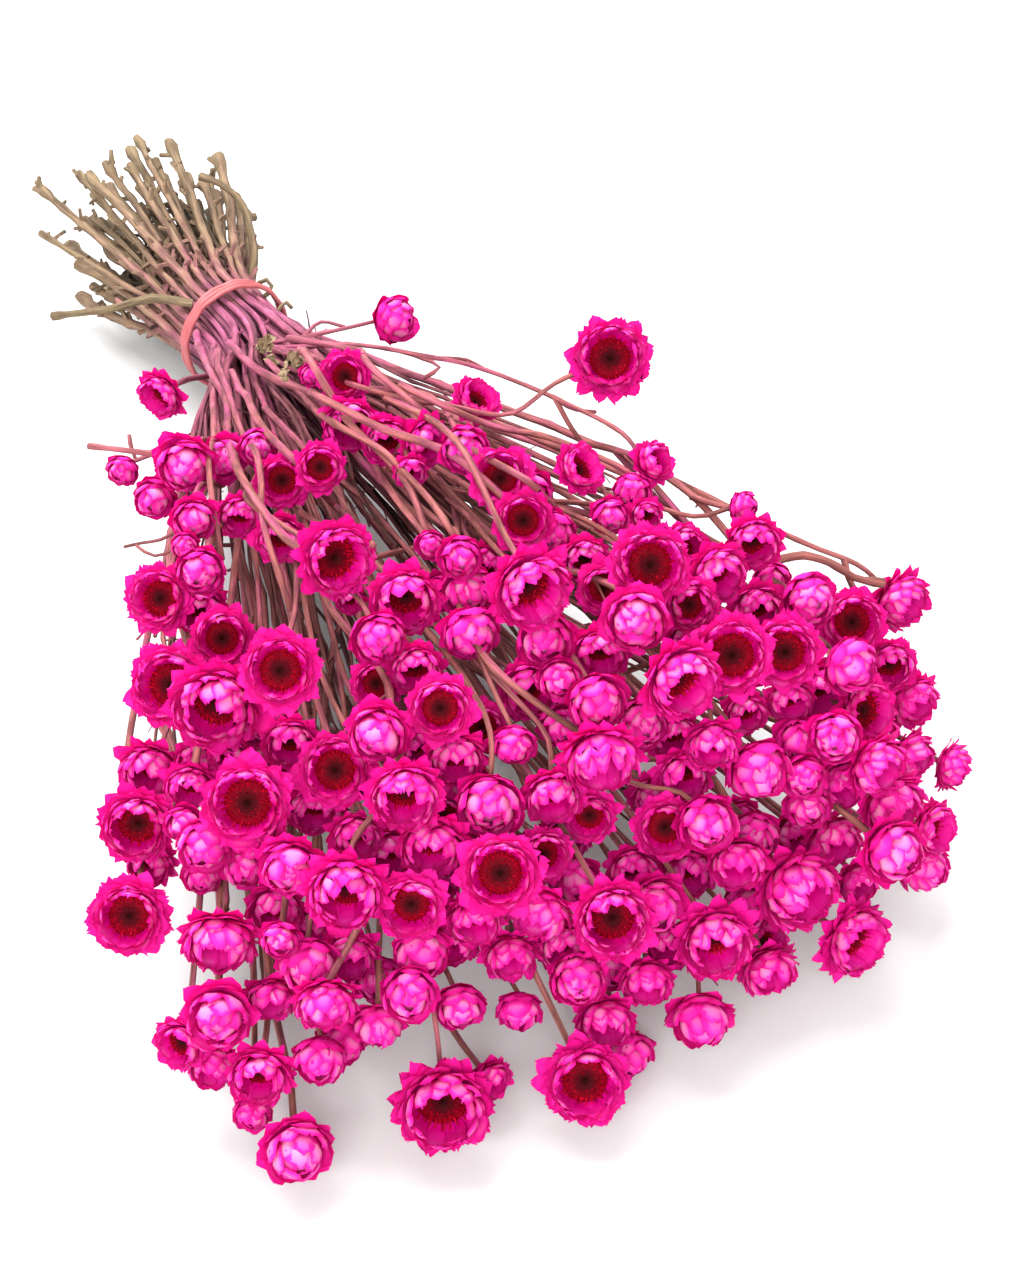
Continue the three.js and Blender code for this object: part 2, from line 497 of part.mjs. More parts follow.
// Nearest points of two rods, as shares of their lengths.
function nearestShares(a, b, c, d) {
  const ab = b.clone().sub(a);
  const cd = d.clone().sub(c);
  const ca = a.clone().sub(c);
  const aa = ab.dot(ab);
  const cc = cd.dot(cd);
  const ac = ab.dot(cd);
  const ae = ab.dot(ca);
  const ce = cd.dot(ca);
  const bottom = aa * cc - ac * ac;
  let s = bottom > 1e-9 ? clamp((ac * ce - ae * cc) / bottom, 0, 1) : 0;
  let t = cc > 1e-9 ? (ac * s + ce) / cc : 0;
  if (t < 0 || t > 1) {
    t = clamp(t, 0, 1);
    s = aa > 1e-9 ? clamp((ac * t - ae) / aa, 0, 1) : 0;
  }
  return [s, t];
}

// Moves the point that lies a share along a rod.
function nudge(rod, share, push) {
  const near = 1 - share;
  const weight = near * near + share * share;
  rod.from.position.addScaledVector(push, near / weight);
  rod.to.position.addScaledVector(push, share / weight);
}

function boxesMeet(a, b, gap) {
  return Math.abs(a.x - b.x) < gap && Math.abs(a.y - b.y) < gap && Math.abs(a.z - b.z) < gap;
}

// Pairs near enough to touch soon
const NEARBY = 10;
const HEADS_NEARBY = 50;

function nearPairs() {
  const middles = rods.map((rod) => rod.from.position.clone().add(rod.to.position).multiplyScalar(0.5));
  const halves = rods.map((rod) => rod.from.position.distanceTo(rod.to.position) / 2);
  const rodPairs = [];
  const headRods = [];
  const headPairs = [];
  for (let i = 0; i < rods.length; i += 1) {
    for (let j = i + 1; j < rods.length; j += 1) {
      const gap = halves[i] + halves[j] + NEARBY;
      if (rods[i].from.spray !== rods[j].from.spray && boxesMeet(middles[i], middles[j], gap)) {
        rodPairs.push([rods[i], rods[j]]);
      }
    }
  }
  heads.forEach((head, i) => {
    rods.forEach((rod, j) => {
      const own = rod.limb.head === head && rod.order === rod.limb.line.length - 1;
      const gap = halves[j] + head.radius + NEARBY;
      if (!own && boxesMeet(head.centre, middles[j], gap)) headRods.push([head, rod]);
    });
    for (let j = i + 1; j < heads.length; j += 1) {
      if (boxesMeet(head.centre, heads[j].centre, HEADS_NEARBY)) headPairs.push([head, heads[j]]);
    }
  });
  return { rodPairs, headRods, headPairs };
}

// A rod gives way more than a head does, and a head keeps near its line of sight.
const ROD_GIVES = 0.75;
const BACK_TO_SIGHT = 0.35;
const SETTLING = 0.5;

const apart = new THREE.Vector3();
const placeOne = new THREE.Vector3();
const placeTwo = new THREE.Vector3();

function partRods([one, two]) {
  const [s, t] = nearestShares(one.from.position, one.to.position, two.from.position, two.to.position);
  placeOne.copy(one.from.position).lerp(one.to.position, s);
  placeTwo.copy(two.from.position).lerp(two.to.position, t);
  apart.copy(placeOne).sub(placeTwo);
  const distance = apart.length();
  const needed = one.radius + two.radius + CLEARANCE;
  if (distance >= needed || distance < 1e-6) return;
  apart.multiplyScalar((needed - distance) / distance / 2);
  nudge(one, s, apart);
  nudge(two, t, apart.negate());
}

function partHeadAndRod([head, rod]) {
  const [, t] = nearestShares(head.centre, head.centre, rod.from.position, rod.to.position);
  placeTwo.copy(rod.from.position).lerp(rod.to.position, t);
  apart.copy(placeTwo).sub(head.centre);
  const distance = apart.length();
  if (distance < 1e-6) return;
  const needed = reachTowards(head, apart.clone().divideScalar(distance)) + rod.radius + CLEARANCE;
  if (distance >= needed) return;
  apart.multiplyScalar((needed - distance) / distance);
  nudge(rod, t, apart.clone().multiplyScalar(ROD_GIVES));
  head.centre.addScaledVector(apart, ROD_GIVES - 1);
}

// Two heads part mostly along the line of sight, so that each keeps its place in the picture.
function partHeads([one, two]) {
  apart.copy(one.centre).sub(two.centre);
  const distance = apart.length();
  const direction = apart.clone().divideScalar(distance);
  const needed = reachTowards(one, direction) + reachTowards(two, direction) + CLEARANCE;
  if (distance >= needed) return;
  const push = (needed - distance) / 2;
  const sign = direction.dot(one.ray) >= 0 ? 1 : -1;
  const blend = direction.addScaledVector(one.ray, sign).normalize();
  one.centre.addScaledVector(blend, push);
  two.centre.addScaledVector(blend, -push);
}

function keepHeadInPlace(head) {
  const out = head.centre.clone().sub(EYE);
  const onRay = head.ray.clone().multiplyScalar(out.dot(head.ray));
  head.centre.addScaledVector(onRay.sub(out), BACK_TO_SIGHT);
  const lowest = reachTowards(head, UP) - SETTLING;
  if (head.centre.z < lowest) head.centre.z = lowest;
}

// Each point keeps to its plane, its root or its head, above the floor and within the band.
function keepPoint(point, squeeze) {
  const { position, station } = point;
  if (point.root) {
    position.copy(point.root.from.position).lerp(point.root.to.position, point.root.part);
    return;
  }
  if (point.head) {
    position.copy(headBase(point.head));
    return;
  }
  if (station !== null) position.y = station;
  if (point.resting) position.z = point.radius * Math.SQRT1_2;
  else position.z = Math.max(position.z, point.radius + FLOOR_CLEARANCE);
  if (NECK_STATIONS.includes(station)) {
    const middle = neckMiddle(station);
    const out = Math.hypot(position.x - middle, position.z - NECK_HEIGHT);
    const share = Math.min(1 - squeeze, (NECK_RADIUS - point.radius) / out);
    position.x = middle + (position.x - middle) * share;
    position.z = NECK_HEIGHT + (position.z - NECK_HEIGHT) * share;
  }
}

function ease(limb, amount) {
  for (let index = 1; index < limb.line.length - 1; index += 1) {
    const point = limb.line[index];
    if (point.head || point.firm) continue;
    const before = limb.line[index - 1].position;
    const after = limb.line[index + 1].position;
    const gone = before.distanceTo(point.position);
    const part = gone / (gone + after.distanceTo(point.position));
    const aim = before.clone().lerp(after, part);
    if (point.wave) aim.add(point.wave);
    point.position.lerp(aim, amount);
  }
}

// Stems are eased straight and squeezed into the band at first; then they only move apart.
const ROUNDS = 260;
const PAIRS_EVERY = 8;
const EASED_ROUNDS = 180;
const EASING = 0.06;
const SQUEEZED_ROUNDS = 208;
const NECK_SQUEEZE = 0.02;
let pairs = nearPairs();
for (let round = 0; round < ROUNDS; round += 1) {
  if (round % PAIRS_EVERY === 0) pairs = nearPairs();
  if (round < EASED_ROUNDS) sprays.forEach((spray) => spray.limbs.forEach((limb) => ease(limb, EASING)));
  pairs.headPairs.forEach(partHeads);
  pairs.headRods.forEach(partHeadAndRod);
  pairs.rodPairs.forEach(partRods);
  heads.forEach(keepHeadInPlace);
  const squeeze = round < SQUEEZED_ROUNDS ? NECK_SQUEEZE : 0;
  points.forEach((point) => keepPoint(point, squeeze));
}

// Rings of corners, joined ring to ring into one closed skin
class Skin {
  constructor() {
    this.corners = [];
    this.faces = [];
  }

  corner(position) {
    this.corners.push(position.x, position.y, Math.max(position.z, 0));
    return this.corners.length / 3 - 1;
  }

  ring(frame, centre, spokes) {
    return spokes.map(({ angle, radius, height = 0 }) => {
      const position = centre.clone()
        .addScaledVector(frame.u, Math.cos(angle) * radius)
        .addScaledVector(frame.v, Math.sin(angle) * radius)
        .addScaledVector(frame.n, height);
      return { index: this.corner(position), angle };
    });
  }

  join(below, above) {
    const full = Math.PI * 2;
    let i = 0;
    let j = 0;
    const nextAngle = (ring, at) => ring[at % ring.length].angle + full * Math.floor(at / ring.length);
    while (i < below.length || j < above.length) {
      const a = below[i % below.length].index;
      const b = above[j % above.length].index;
      const stepBelow = j >= above.length
        || (i < below.length && nextAngle(below, i + 1) <= nextAngle(above, j + 1));
      if (stepBelow) {
        i += 1;
        this.faces.push(a, below[i % below.length].index, b);
      } else {
        j += 1;
        this.faces.push(a, above[j % above.length].index, b);
      }
    }
  }

  closeStart(ring) {
    for (let i = 1; i < ring.length - 1; i += 1) {
      this.faces.push(ring[0].index, ring[i + 1].index, ring[i].index);
    }
  }

  closeEnd(ring, top) {
    const tip = this.corner(top);
    ring.forEach((corner, i) => this.faces.push(corner.index, ring[(i + 1) % ring.length].index, tip));
  }

  solid() {
    const mesh = new wasm.Mesh({
      numProp: 3,
      vertProperties: new Float32Array(this.corners),
      triVerts: new Uint32Array(this.faces),
    });
    return new wasm.Manifold(mesh);
  }
}

function spokes(count, radius, height, start) {
  return Array.from({ length: count }, (_, index) => ({
    angle: start + (index * Math.PI * 2) / count,
    radius,
    height,
  }));
}

// A whorl of bracts: pointed tips with notches between them.
function whorl(count, tip, notch, start) {
  return Array.from({ length: count * 2 }, (_, index) => {
    const { radius, height } = index % 2 === 0 ? tip : notch;
    return { angle: start + (index * Math.PI) / count, radius, height };
  });
}

// Bract whorls as shares of the head's radius, for a bud and for a wide open head
const BRACTS = {
  outerTip: { bud: [0.92, 0.72], open: [1.0, 0.34] },
  outerNotch: { bud: [0.86, 0.4], open: [0.74, 0.2] },
  innerTip: { bud: [0.46, 1.5], open: [0.74, 0.74] },
  innerNotch: { bud: [0.58, 1.16], open: [0.6, 0.52] },
  discEdge: { bud: [0.1, 1.3], open: [0.44, 0.27] },
  discMiddle: { bud: [0, 1.4], open: [0, 0.36] },
};

function bract(head, name) {
  const { bud, open } = BRACTS[name];
  return {
    radius: lerp(bud[0], open[0], head.open) * head.radius * head.drawnIn,
    height: lerp(bud[1], open[1], head.open) * head.radius * head.drawnIn,
  };
}

// A bloom head grows straight on from its stalk: two whorls of bracts round a sunken disc.
function addHead(skin, stalkRing, frame, head) {
  const base = headBase(head);
  const count = head.bracts;
  const outer = skin.ring(frame, base, whorl(count, bract(head, 'outerTip'), bract(head, 'outerNotch'), 0));
  const inner = skin.ring(frame, base, whorl(count, bract(head, 'innerNotch'), bract(head, 'innerTip'), 0));
  const edge = bract(head, 'discEdge');
  const edgeRing = skin.ring(frame, base, spokes(count, edge.radius, edge.height, 0));
  skin.join(stalkRing, outer);
  skin.join(outer, inner);
  skin.join(inner, edgeRing);
  skin.closeEnd(edgeRing, base.clone().addScaledVector(frame.n, bract(head, 'discMiddle').height));
}

// Carries a cross direction along the run, so that the rings don't twist.
function nextFrame(frame, direction) {
  const u = frame.u.clone().addScaledVector(direction, -frame.u.dot(direction)).normalize();
  return { u, v: direction.clone().cross(u), n: direction };
}

function limbSolid(limb) {
  const skin = new Skin();
  const { line, sides, head } = limb;
  const first = line[1].position.clone().sub(line[0].position).normalize();
  let frame = { u: new THREE.Vector3(1, 0, 0), v: UP, n: new THREE.Vector3(0, -1, 0) };
  if (limb.root) frame = nextFrame(frame, first);
  let last = null;
  line.forEach((point, index) => {
    if (point.station === null && index > 0) {
      const ahead = line[Math.min(index + 1, line.length - 1)].position;
      const onHead = index === line.length - 1;
      const direction = onHead ? head.face : ahead.clone().sub(line[index - 1].position).normalize();
      frame = nextFrame(frame, direction);
    }
    const start = sides === STEM_SIDES ? Math.PI / STEM_SIDES : 0;
    const ring = skin.ring(frame, point.position, spokes(sides, point.radius * limb.drawnIn, 0, start));
    if (last) skin.join(last, ring);
    else skin.closeStart(ring);
    last = ring;
  });
  addHead(skin, last, nextFrame(frame, head.face), head);
  return skin.solid();
}

heads.forEach((head) => {
  head.drawnIn = 0.97;
  head.bracts = WHORL_COUNTS.find(([radius]) => head.radius < radius)[1];
  if (head.open <= SHUT) head.bracts = Math.min(head.bracts, SHUT_WHORL);
});
const limbs = sprays.flatMap((spray) => spray.limbs);
limbs.forEach((limb) => { limb.drawnIn = 1; });

function solidBox(solid) {
  const { min, max } = solid.boundingBox();
  return new THREE.Box3(new THREE.Vector3(...min), new THREE.Vector3(...max));
}

// Where limbs of two sprays still touch, the head or the stems there are drawn in a little.
const AT_HEAD = 1.3;
const DRAWN_IN = 0.94;
const TRIES = 14;

function drawIn(limb, place) {
  const atHead = place.distanceTo(limb.head.centre) < limb.head.radius * AT_HEAD;
  const drawn = atHead ? limb.head : limb;
  drawn.drawnIn *= DRAWN_IN;
  limb.stale = true;
}

limbs.forEach((limb) => { limb.stale = true; });
for (let attempt = 0; attempt < TRIES; attempt += 1) {
  limbs.filter((limb) => limb.stale).forEach((limb) => {
    limb.solid = limbSolid(limb);
    limb.box = solidBox(limb.solid).expandByScalar(0.2);
    limb.stale = false;
  });
  let touching = 0;
  for (let i = 0; i < limbs.length; i += 1) {
    for (let j = i + 1; j < limbs.length; j += 1) {
      const one = limbs[i];
      const two = limbs[j];
      if (one.head.spray === two.head.spray || !one.box.intersectsBox(two.box)) continue;
      const shared = one.solid.intersect(two.solid);
      if (shared.isEmpty()) continue;
      touching += 1;
      const place = solidBox(shared).getCenter(new THREE.Vector3());
      drawIn(one, place);
      drawIn(two, place);
    }
  }
  if (touching === 0) break;
}

// Back from a solid to a mesh
function meshOf(name, solid, material) {
  const { vertProperties, triVerts } = solid.getMesh();
  const geometry = new THREE.BufferGeometry();
  geometry.setAttribute('position', new THREE.BufferAttribute(new Float32Array(vertProperties), 3));
  geometry.setIndex(new THREE.BufferAttribute(new Uint32Array(triVerts), 1));
  const mesh = new THREE.Mesh(geometry, material);
  mesh.name = name;
  return mesh;
}

const bunch = new THREE.Group();

function sprayMesh(spray, number) {
  let solid = spray.limbs[0].solid;
  spray.limbs.slice(1).forEach((limb) => { solid = solid.add(limb.solid); });
  const pieces = solid.decompose();
  solid = pieces.reduce((a, b) => (a.volume() > b.volume() ? a : b));
  const pink = new THREE.MeshStandardMaterial({ color: 0xe4149a, roughness: 0.8, metalness: 0 });
  return meshOf(`spray_${String(number + 1).padStart(2, '0')}`, solid, pink);
}

sprays.forEach((spray, number) => bunch.add(sprayMesh(spray, number)));

// The rubber band: three rounds side by side, one closed ring.
function bandMesh() {
  const inner = NECK_RADIUS + BAND_FIT;
  const skin = new Skin();
  const profile = [];
  const width = BAND_ROUNDS * BAND_ROUND_WIDTH;
  for (let round = 0; round < BAND_ROUNDS; round += 1) {
    const from = -width / 2 + round * BAND_ROUND_WIDTH;
    profile.push([from, inner + BAND_THICKNESS - BAND_GROOVE]);
    profile.push([from + BAND_ROUND_WIDTH / 2, inner + BAND_THICKNESS]);
  }
  profile.push([width / 2, inner + BAND_THICKNESS - BAND_GROOVE]);
  profile.push([width / 2, inner]);
  profile.push([-width / 2, inner]);
  const rows = profile.map(([along, radius]) => {
    const centre = new THREE.Vector3(-Math.sin(BAND_TURN) * along, Math.cos(BAND_TURN) * along, NECK_HEIGHT);
    const u = new THREE.Vector3(Math.cos(BAND_TURN), Math.sin(BAND_TURN), 0);
    return skin.ring({ u, v: UP, n: new THREE.Vector3() }, centre, spokes(BAND_SIDES, radius, 0, 0));
  });
  rows.forEach((row, index) => skin.join(rows[(index + 1) % rows.length], row));
  const rubber = new THREE.MeshStandardMaterial({ color: 0xc9656b, roughness: 0.6, metalness: 0 });
  return meshOf('band', skin.solid(), rubber);
}

bunch.add(bandMesh());

// The origin is the middle of the bunch's box, on the surface that it lies on.
const box = new THREE.Box3().setFromObject(bunch);
const middle = box.getCenter(new THREE.Vector3());
bunch.position.set(-middle.x, -middle.y, -box.min.z);

export default bunch;
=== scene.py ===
import bpy
import math
import random
import numpy as np
from mathutils import Matrix, Vector


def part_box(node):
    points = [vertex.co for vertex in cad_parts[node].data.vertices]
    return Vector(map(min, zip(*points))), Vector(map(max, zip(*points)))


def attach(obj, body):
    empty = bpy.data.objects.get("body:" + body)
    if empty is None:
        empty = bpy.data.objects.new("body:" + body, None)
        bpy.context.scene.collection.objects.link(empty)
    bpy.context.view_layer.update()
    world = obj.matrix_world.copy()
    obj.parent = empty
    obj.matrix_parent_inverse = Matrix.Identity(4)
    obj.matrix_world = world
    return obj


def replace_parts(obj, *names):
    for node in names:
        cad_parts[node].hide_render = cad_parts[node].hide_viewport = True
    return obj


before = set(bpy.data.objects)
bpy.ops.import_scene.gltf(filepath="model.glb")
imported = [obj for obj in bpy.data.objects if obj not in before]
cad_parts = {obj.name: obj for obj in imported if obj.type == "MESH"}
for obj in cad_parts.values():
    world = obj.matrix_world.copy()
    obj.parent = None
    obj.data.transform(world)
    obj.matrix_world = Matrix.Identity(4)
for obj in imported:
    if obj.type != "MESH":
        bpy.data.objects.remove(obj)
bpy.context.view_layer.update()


# Camera
# The bunch lies on its side and is looked at from the front left and above, with a lens that is
# a little long. The lens is given in pixels of the photograph, whose lines of sight place the
# loose twigs and dry leaves further on.
EYE = (-0.1464, -0.4804, 0.393)
LOOK_DOWN = math.radians(39)
LOOK_TURN = math.radians(22)
PHOTO_HEIGHT = 1280
PHOTO_FOCAL = 2060

camera_data = bpy.data.cameras.new("camera")
camera_data.sensor_width = 36
camera_data.lens = camera_data.sensor_width * PHOTO_FOCAL / PHOTO_HEIGHT
camera_data.clip_start = 0.02
camera = bpy.data.objects.new("camera", camera_data)
camera.location = EYE
camera.rotation_euler = (math.pi / 2 - LOOK_DOWN, 0, -LOOK_TURN)
bpy.context.scene.collection.objects.link(camera)
bpy.context.scene.camera = camera


# Woody stems
# About fifty-six dried stems, each a hard ridged stick with swollen scars where leaves
# dropped off, a knobbly cut end behind the tie, and side stalks that carry the heads.
# The dye took well near the tie and in the fan, and left the tail a bare tan.
MM = 0.001
TIE_PLACE = (np.array(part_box("band")[0]) + np.array(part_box("band")[1])) / 2 / MM
TIE_RADIUS = 18.3
TIE_HALF_LENGTH = 9
TIE_TURN = math.radians(13)
STEM_RADIUS = 1.5
STALK_RADIUS = 0.82
THIN_STEM_RADIUS = 0.95
STEP = 3.6
JOINT_GAPS = (15, 34)
JOINT_SWELL = (1.06, 1.26)
RIDGE_HEIGHT = 0.08
BARK_LENGTH = 9
NECK_LENGTH = 7
FLOOR_GAP = 0.25
CREASE = math.radians(75)

# how the solids are built: where a stem has its rings of corners, from the tie back and forth,
# and how far out and up, in radii of its head, a disc's rim and middle lie
KNOB_LENGTH = 7
STATIONS = [14, -15, -62, -132, -212]
SHORTEST_TAIL = 16
DISC_RIM = {"shut": (0.10, 1.30), "open": (0.44, 0.27)}
DISC_MIDDLE = {"shut": 1.40, "open": 0.36}
CUP_RINGS = 3
STALK_SIDES = 3
STEM_SIDES = 4


def mix(a, b, share):
    return a + (b - a) * share


def unit(direction):
    return direction / max(np.linalg.norm(direction), 1e-9)


def solid_net(node):
    """A solid's corners in millimetres, and for each corner those that share an edge with it."""
    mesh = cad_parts[node].data
    places = np.array([corner.co for corner in mesh.vertices]) / MM
    corners, which = np.unique(np.round(places, 3), axis=0, return_inverse=True)
    which = which.ravel()
    joined = [set() for _ in corners]
    for face in mesh.polygons:
        ring = [int(which[i]) for i in face.vertices]
        for a, b in zip(ring, ring[1:] + ring[:1]):
            joined[a].add(b)
            joined[b].add(a)
    return corners, joined


def rings_behind(start, joined, count):
    """Rings of corners round a head and down its stalk, each one edge further from its top."""
    seen = {start}
    ring = {start}
    rings = []
    for _ in range(count):
        ring = set().union(*(joined[i] for i in ring)) - seen
        if not ring:
            break
        seen |= ring
        rings.append(sorted(ring))
    return rings


def is_disc_middle(corner, rim, rise, second_ring):
    """Only at a disc's middle do all neighbours lie equally far, in one plane, in a wider ring."""
    reach = np.linalg.norm(rim - corner, axis=1)
    height = np.linalg.norm(rise)
    if np.ptp(reach) > 0.02 * reach.mean() or height < 0.15:
        return False
    level = np.ptp((rim - corner) @ rise / height) <= 0.05 * reach.mean()
    return level and len(second_ring) >= 2 * len(rim) - 1


def measure_head(corner, rim, rise):
    """A head's base, the way it faces, its radius, and how far it has opened from 0 to 1."""
    height = np.linalg.norm(rise)
    slope = np.linalg.norm(rim - rim.mean(axis=0), axis=1).mean() / height
    shut_rise = DISC_MIDDLE["shut"] - DISC_RIM["shut"][1]
    open_rise = DISC_MIDDLE["open"] - DISC_RIM["open"][1]
    spare = slope * shut_rise - DISC_RIM["shut"][0]
    opened = spare / (DISC_RIM["open"][0] - DISC_RIM["shut"][0] + slope * (shut_rise - open_rise))
    radius = height / mix(shut_rise, open_rise, opened)
    face = rise / height
    base = corner - face * radius * mix(DISC_MIDDLE["shut"], DISC_MIDDLE["open"], opened)
    return {"base": base, "face": face, "radius": radius, "open": min(max(opened, 0), 1)}


def find_heads(corners, joined):
    """Every head of a spray, with its stalk's way and the corners that the stalk ends on."""
    heads = []
    for i, near in enumerate(joined):
        if not 4 <= len(near) <= 6:
            continue
        rim = corners[sorted(near)]
        rise = corners[i] - rim.mean(axis=0)
        if not is_disc_middle(corners[i], rim, rise, rings_behind(i, joined, 2)[1]):
            continue
        head = measure_head(corners[i], rim, rise)
        rings = rings_behind(i, joined, 12)[CUP_RINGS:]
        sides = len(rings[0]) if rings and len(rings[0]) in (STALK_SIDES, STEM_SIDES) else 0
        way = []
        while sides and rings and len(rings[0]) == sides:
            way.append(corners[rings.pop(0)].mean(axis=0))
        rest = corners[rings[0]] if rings and way else None
        heads.append({**head, "sides": sides, "way": way, "rest": rest})
    return heads


def slice_middle(corners, height_y):
    """The middle of a stem where a plane across the bunch cuts it, if it has its corners there."""
    near = corners[np.abs(corners[:, 1] - height_y) < 0.004]
    if len(near) < 3:
        return None
    return (near.min(axis=0) + near.max(axis=0)) / 2


def smooth_way(points, step):
    """A soft curve through points, as places about one step apart."""
    kept = [np.asarray(points[0], float)]
    for point in points[1:]:
        if np.linalg.norm(point - kept[-1]) > 0.8:
            kept.append(np.asarray(point, float))
    points = np.array(kept)
    runs = np.linalg.norm(np.diff(points, axis=0), axis=1)
    at = np.concatenate([[0], np.cumsum(runs)])
    if len(points) > 2:
        slopes = np.gradient(points, at, axis=0)
    else:
        slopes = np.repeat([(points[1] - points[0]) / at[1]], 2, 0)
    count = max(int(at[-1] / step), 2)
    places = []
    for s in np.linspace(0, at[-1], count + 1):
        k = min(max(np.searchsorted(at, s) - 1, 0), len(runs) - 1)
        t = (s - at[k]) / runs[k]
        a = (1 + 2 * t) * (1 - t) ** 2 * points[k] + t * (1 - t) ** 2 * runs[k] * slopes[k]
        b = t * t * (3 - 2 * t) * points[k + 1] - t * t * (1 - t) * runs[k] * slopes[k + 1]
        places.append(a + b)
    return np.array(places)


def spray_limbs(node):
    """A spray's stem and side stalks, each with its way from the root and the head at its end."""
    corners, joined = solid_net(node)
    heads = find_heads(corners, joined)
    cut = corners[:, 1].max()
    planes = [cut, cut - KNOB_LENGTH]
    planes += [TIE_PLACE[1] + s for s in STATIONS if TIE_PLACE[1] + s < cut - SHORTEST_TAIL]
    stem = [p for p in (slice_middle(corners, y) for y in planes) if p is not None]
    mains = [h for h in heads if h["sides"] == STEM_SIDES]
    end = mains[0] if mains else min(heads, key=lambda h: np.linalg.norm(h["base"] - stem[-1]))
    tip = end["base"] - end["face"] * NECK_LENGTH
    stem = [p for p in stem if p[1] > tip[1] + 3] + [tip, end["base"]]
    limbs = [{"way": stem, "head": end, "main": True}]
    run = smooth_way(stem, 2)
    for head in heads:
        if head is end:
            continue
        neck = head["base"] - head["face"] * NECK_LENGTH
        way = head["way"][::-1] or [neck, head["base"]]
        if len(way) < 2:
            way = [neck] + way
        seat = way[0] + np.array([0, 14, 0]) if head["rest"] is None else head["rest"].mean(axis=0)
        root = run[np.argmin(np.linalg.norm(run - seat, axis=1))]
        if np.linalg.norm(root - way[0]) < 1.5:
            way = way[1:]
        limbs.append({"way": [root] + way, "head": head, "main": False})
    return limbs


class Gathering:
    """Places, faces and marks of one mesh, gathered while its parts are grown."""

    def __init__(self):
        self.places, self.faces, self.marks, self.count = [], [], {}, 0

    def add(self, places, faces, **marks):
        places = np.asarray(places, float).reshape(-1, 3)
        for face in faces:
            self.faces.append(np.asarray(face, np.int64) + self.count)
        self.places.append(places)
        for name, values in marks.items():
            self.marks.setdefault(name, []).append(np.broadcast_to(values, (len(places), 3)))
        self.count += len(places)

    def piece(self, name, material):
        places = np.concatenate(self.places)
        places[:, 2] = np.maximum(places[:, 2], FLOOR_GAP)
        rings = [face for block in self.faces for face in np.atleast_2d(block)]
        sizes = np.array([len(ring) for ring in rings])
        mesh = bpy.data.meshes.new(name)
        mesh.vertices.add(len(places))
        mesh.vertices.foreach_set("co", (places * MM).ravel())
        mesh.loops.add(int(sizes.sum()))
        mesh.loops.foreach_set("vertex_index", np.concatenate(rings))
        mesh.polygons.add(len(rings))
        mesh.polygons.foreach_set("loop_start", np.concatenate([[0], np.cumsum(sizes)[:-1]]))
        mesh.polygons.foreach_set("use_smooth", np.ones(len(rings), bool))
        for mark, blocks in self.marks.items():
            layer = mesh.attributes.new(mark, "FLOAT_VECTOR", "POINT")
            layer.data.foreach_set("vector", np.concatenate(blocks).ravel())
        mesh.update(calc_edges=True)
        mesh.validate()
        mesh.set_sharp_from_angle(angle=CREASE)
        mesh.materials.append(material)
        shown = bpy.data.objects.new(name, mesh)
        bpy.context.scene.collection.objects.link(shown)
        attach(shown, "root")
        return shown


def wall_faces(rows, sides):
    """Four-sided faces round a tube of rows rings of corners, and the corners' numbers."""
    first = np.arange(rows * sides).reshape(rows, sides)
    beside = np.roll(first, -1, axis=1)
    return np.stack([first[:-1], beside[:-1], beside[1:], first[1:]], axis=-1).reshape(-1, 4), first, beside


def grow_stick(gathering, places, radii, sides, chance, dye, cut_end=False, aged=0.0):
    """A closed ridged stick along places. Its mark bark runs round and along it, and growth says
    how far from the tie it is, how much dye it took (below none, it is darker: a painted shade on
    the thin stems inside the bunch, and a darker tone on some loose twigs), and how much of it
    is a fresh cut. An aged stick is as bare and tan as one that lies further back."""
    count = len(places)
    ahead = np.gradient(places, axis=0)
    ahead /= np.linalg.norm(ahead, axis=1)[:, None]
    side = unit(np.cross(ahead[0], [0.31, 0.2, 0.93]))
    turn = np.linspace(0, 2 * math.pi, sides, endpoint=False)
    start_turn = chance.uniform(0, 6)
    along = np.concatenate([[0], np.cumsum(np.linalg.norm(np.diff(places, axis=0), axis=1))])
    reach = (TIE_PLACE[1] - places[:, 1]) / 100 - aged
    skin, bark, growth = [], [], []
    for k in range(count):
        side = unit(side - ahead[k] * np.dot(side, ahead[k]))
        across = np.cross(ahead[k], side)
        ridges = np.cos(3 * (turn + start_turn + along[k] * 0.02)) + 0.4 * np.cos(turn * 2 + along[k] * 0.11)
        swell = 1 + RIDGE_HEIGHT * ridges
        ring = np.outer(np.cos(turn) * swell, side) + np.outer(np.sin(turn) * swell, across)
        skin.append(places[k] + ring * radii[k])
        lengthwise = np.full(sides, along[k] / BARK_LENGTH + start_turn * 7)
        bark.append(np.column_stack([np.cos(turn), np.sin(turn), lengthwise]))
        growth.append(np.tile([reach[k], dye, 0], (sides, 1)))
    walls, first, beside = wall_faces(count, sides)
    start_face = np.column_stack([np.full(sides, count * sides), beside[0], first[0]])
    end_face = np.column_stack([np.full(sides, count * sides + 1), first[-1], beside[-1]])
    inset = 0.25 if cut_end else 0
    skin.append([places[0] + ahead[0] * inset * radii[0], places[-1] + ahead[-1] * radii[-1] * 0.5])
    bark.append([[0, 0, 0], [0, 0, along[-1] / BARK_LENGTH]])
    growth.append([[reach[0], dye, 1.0 if cut_end else 0], [reach[-1], dye, 0]])
    gathering.add(np.concatenate(skin), [walls, start_face, end_face],
                  bark=np.concatenate(bark), growth=np.concatenate(growth))


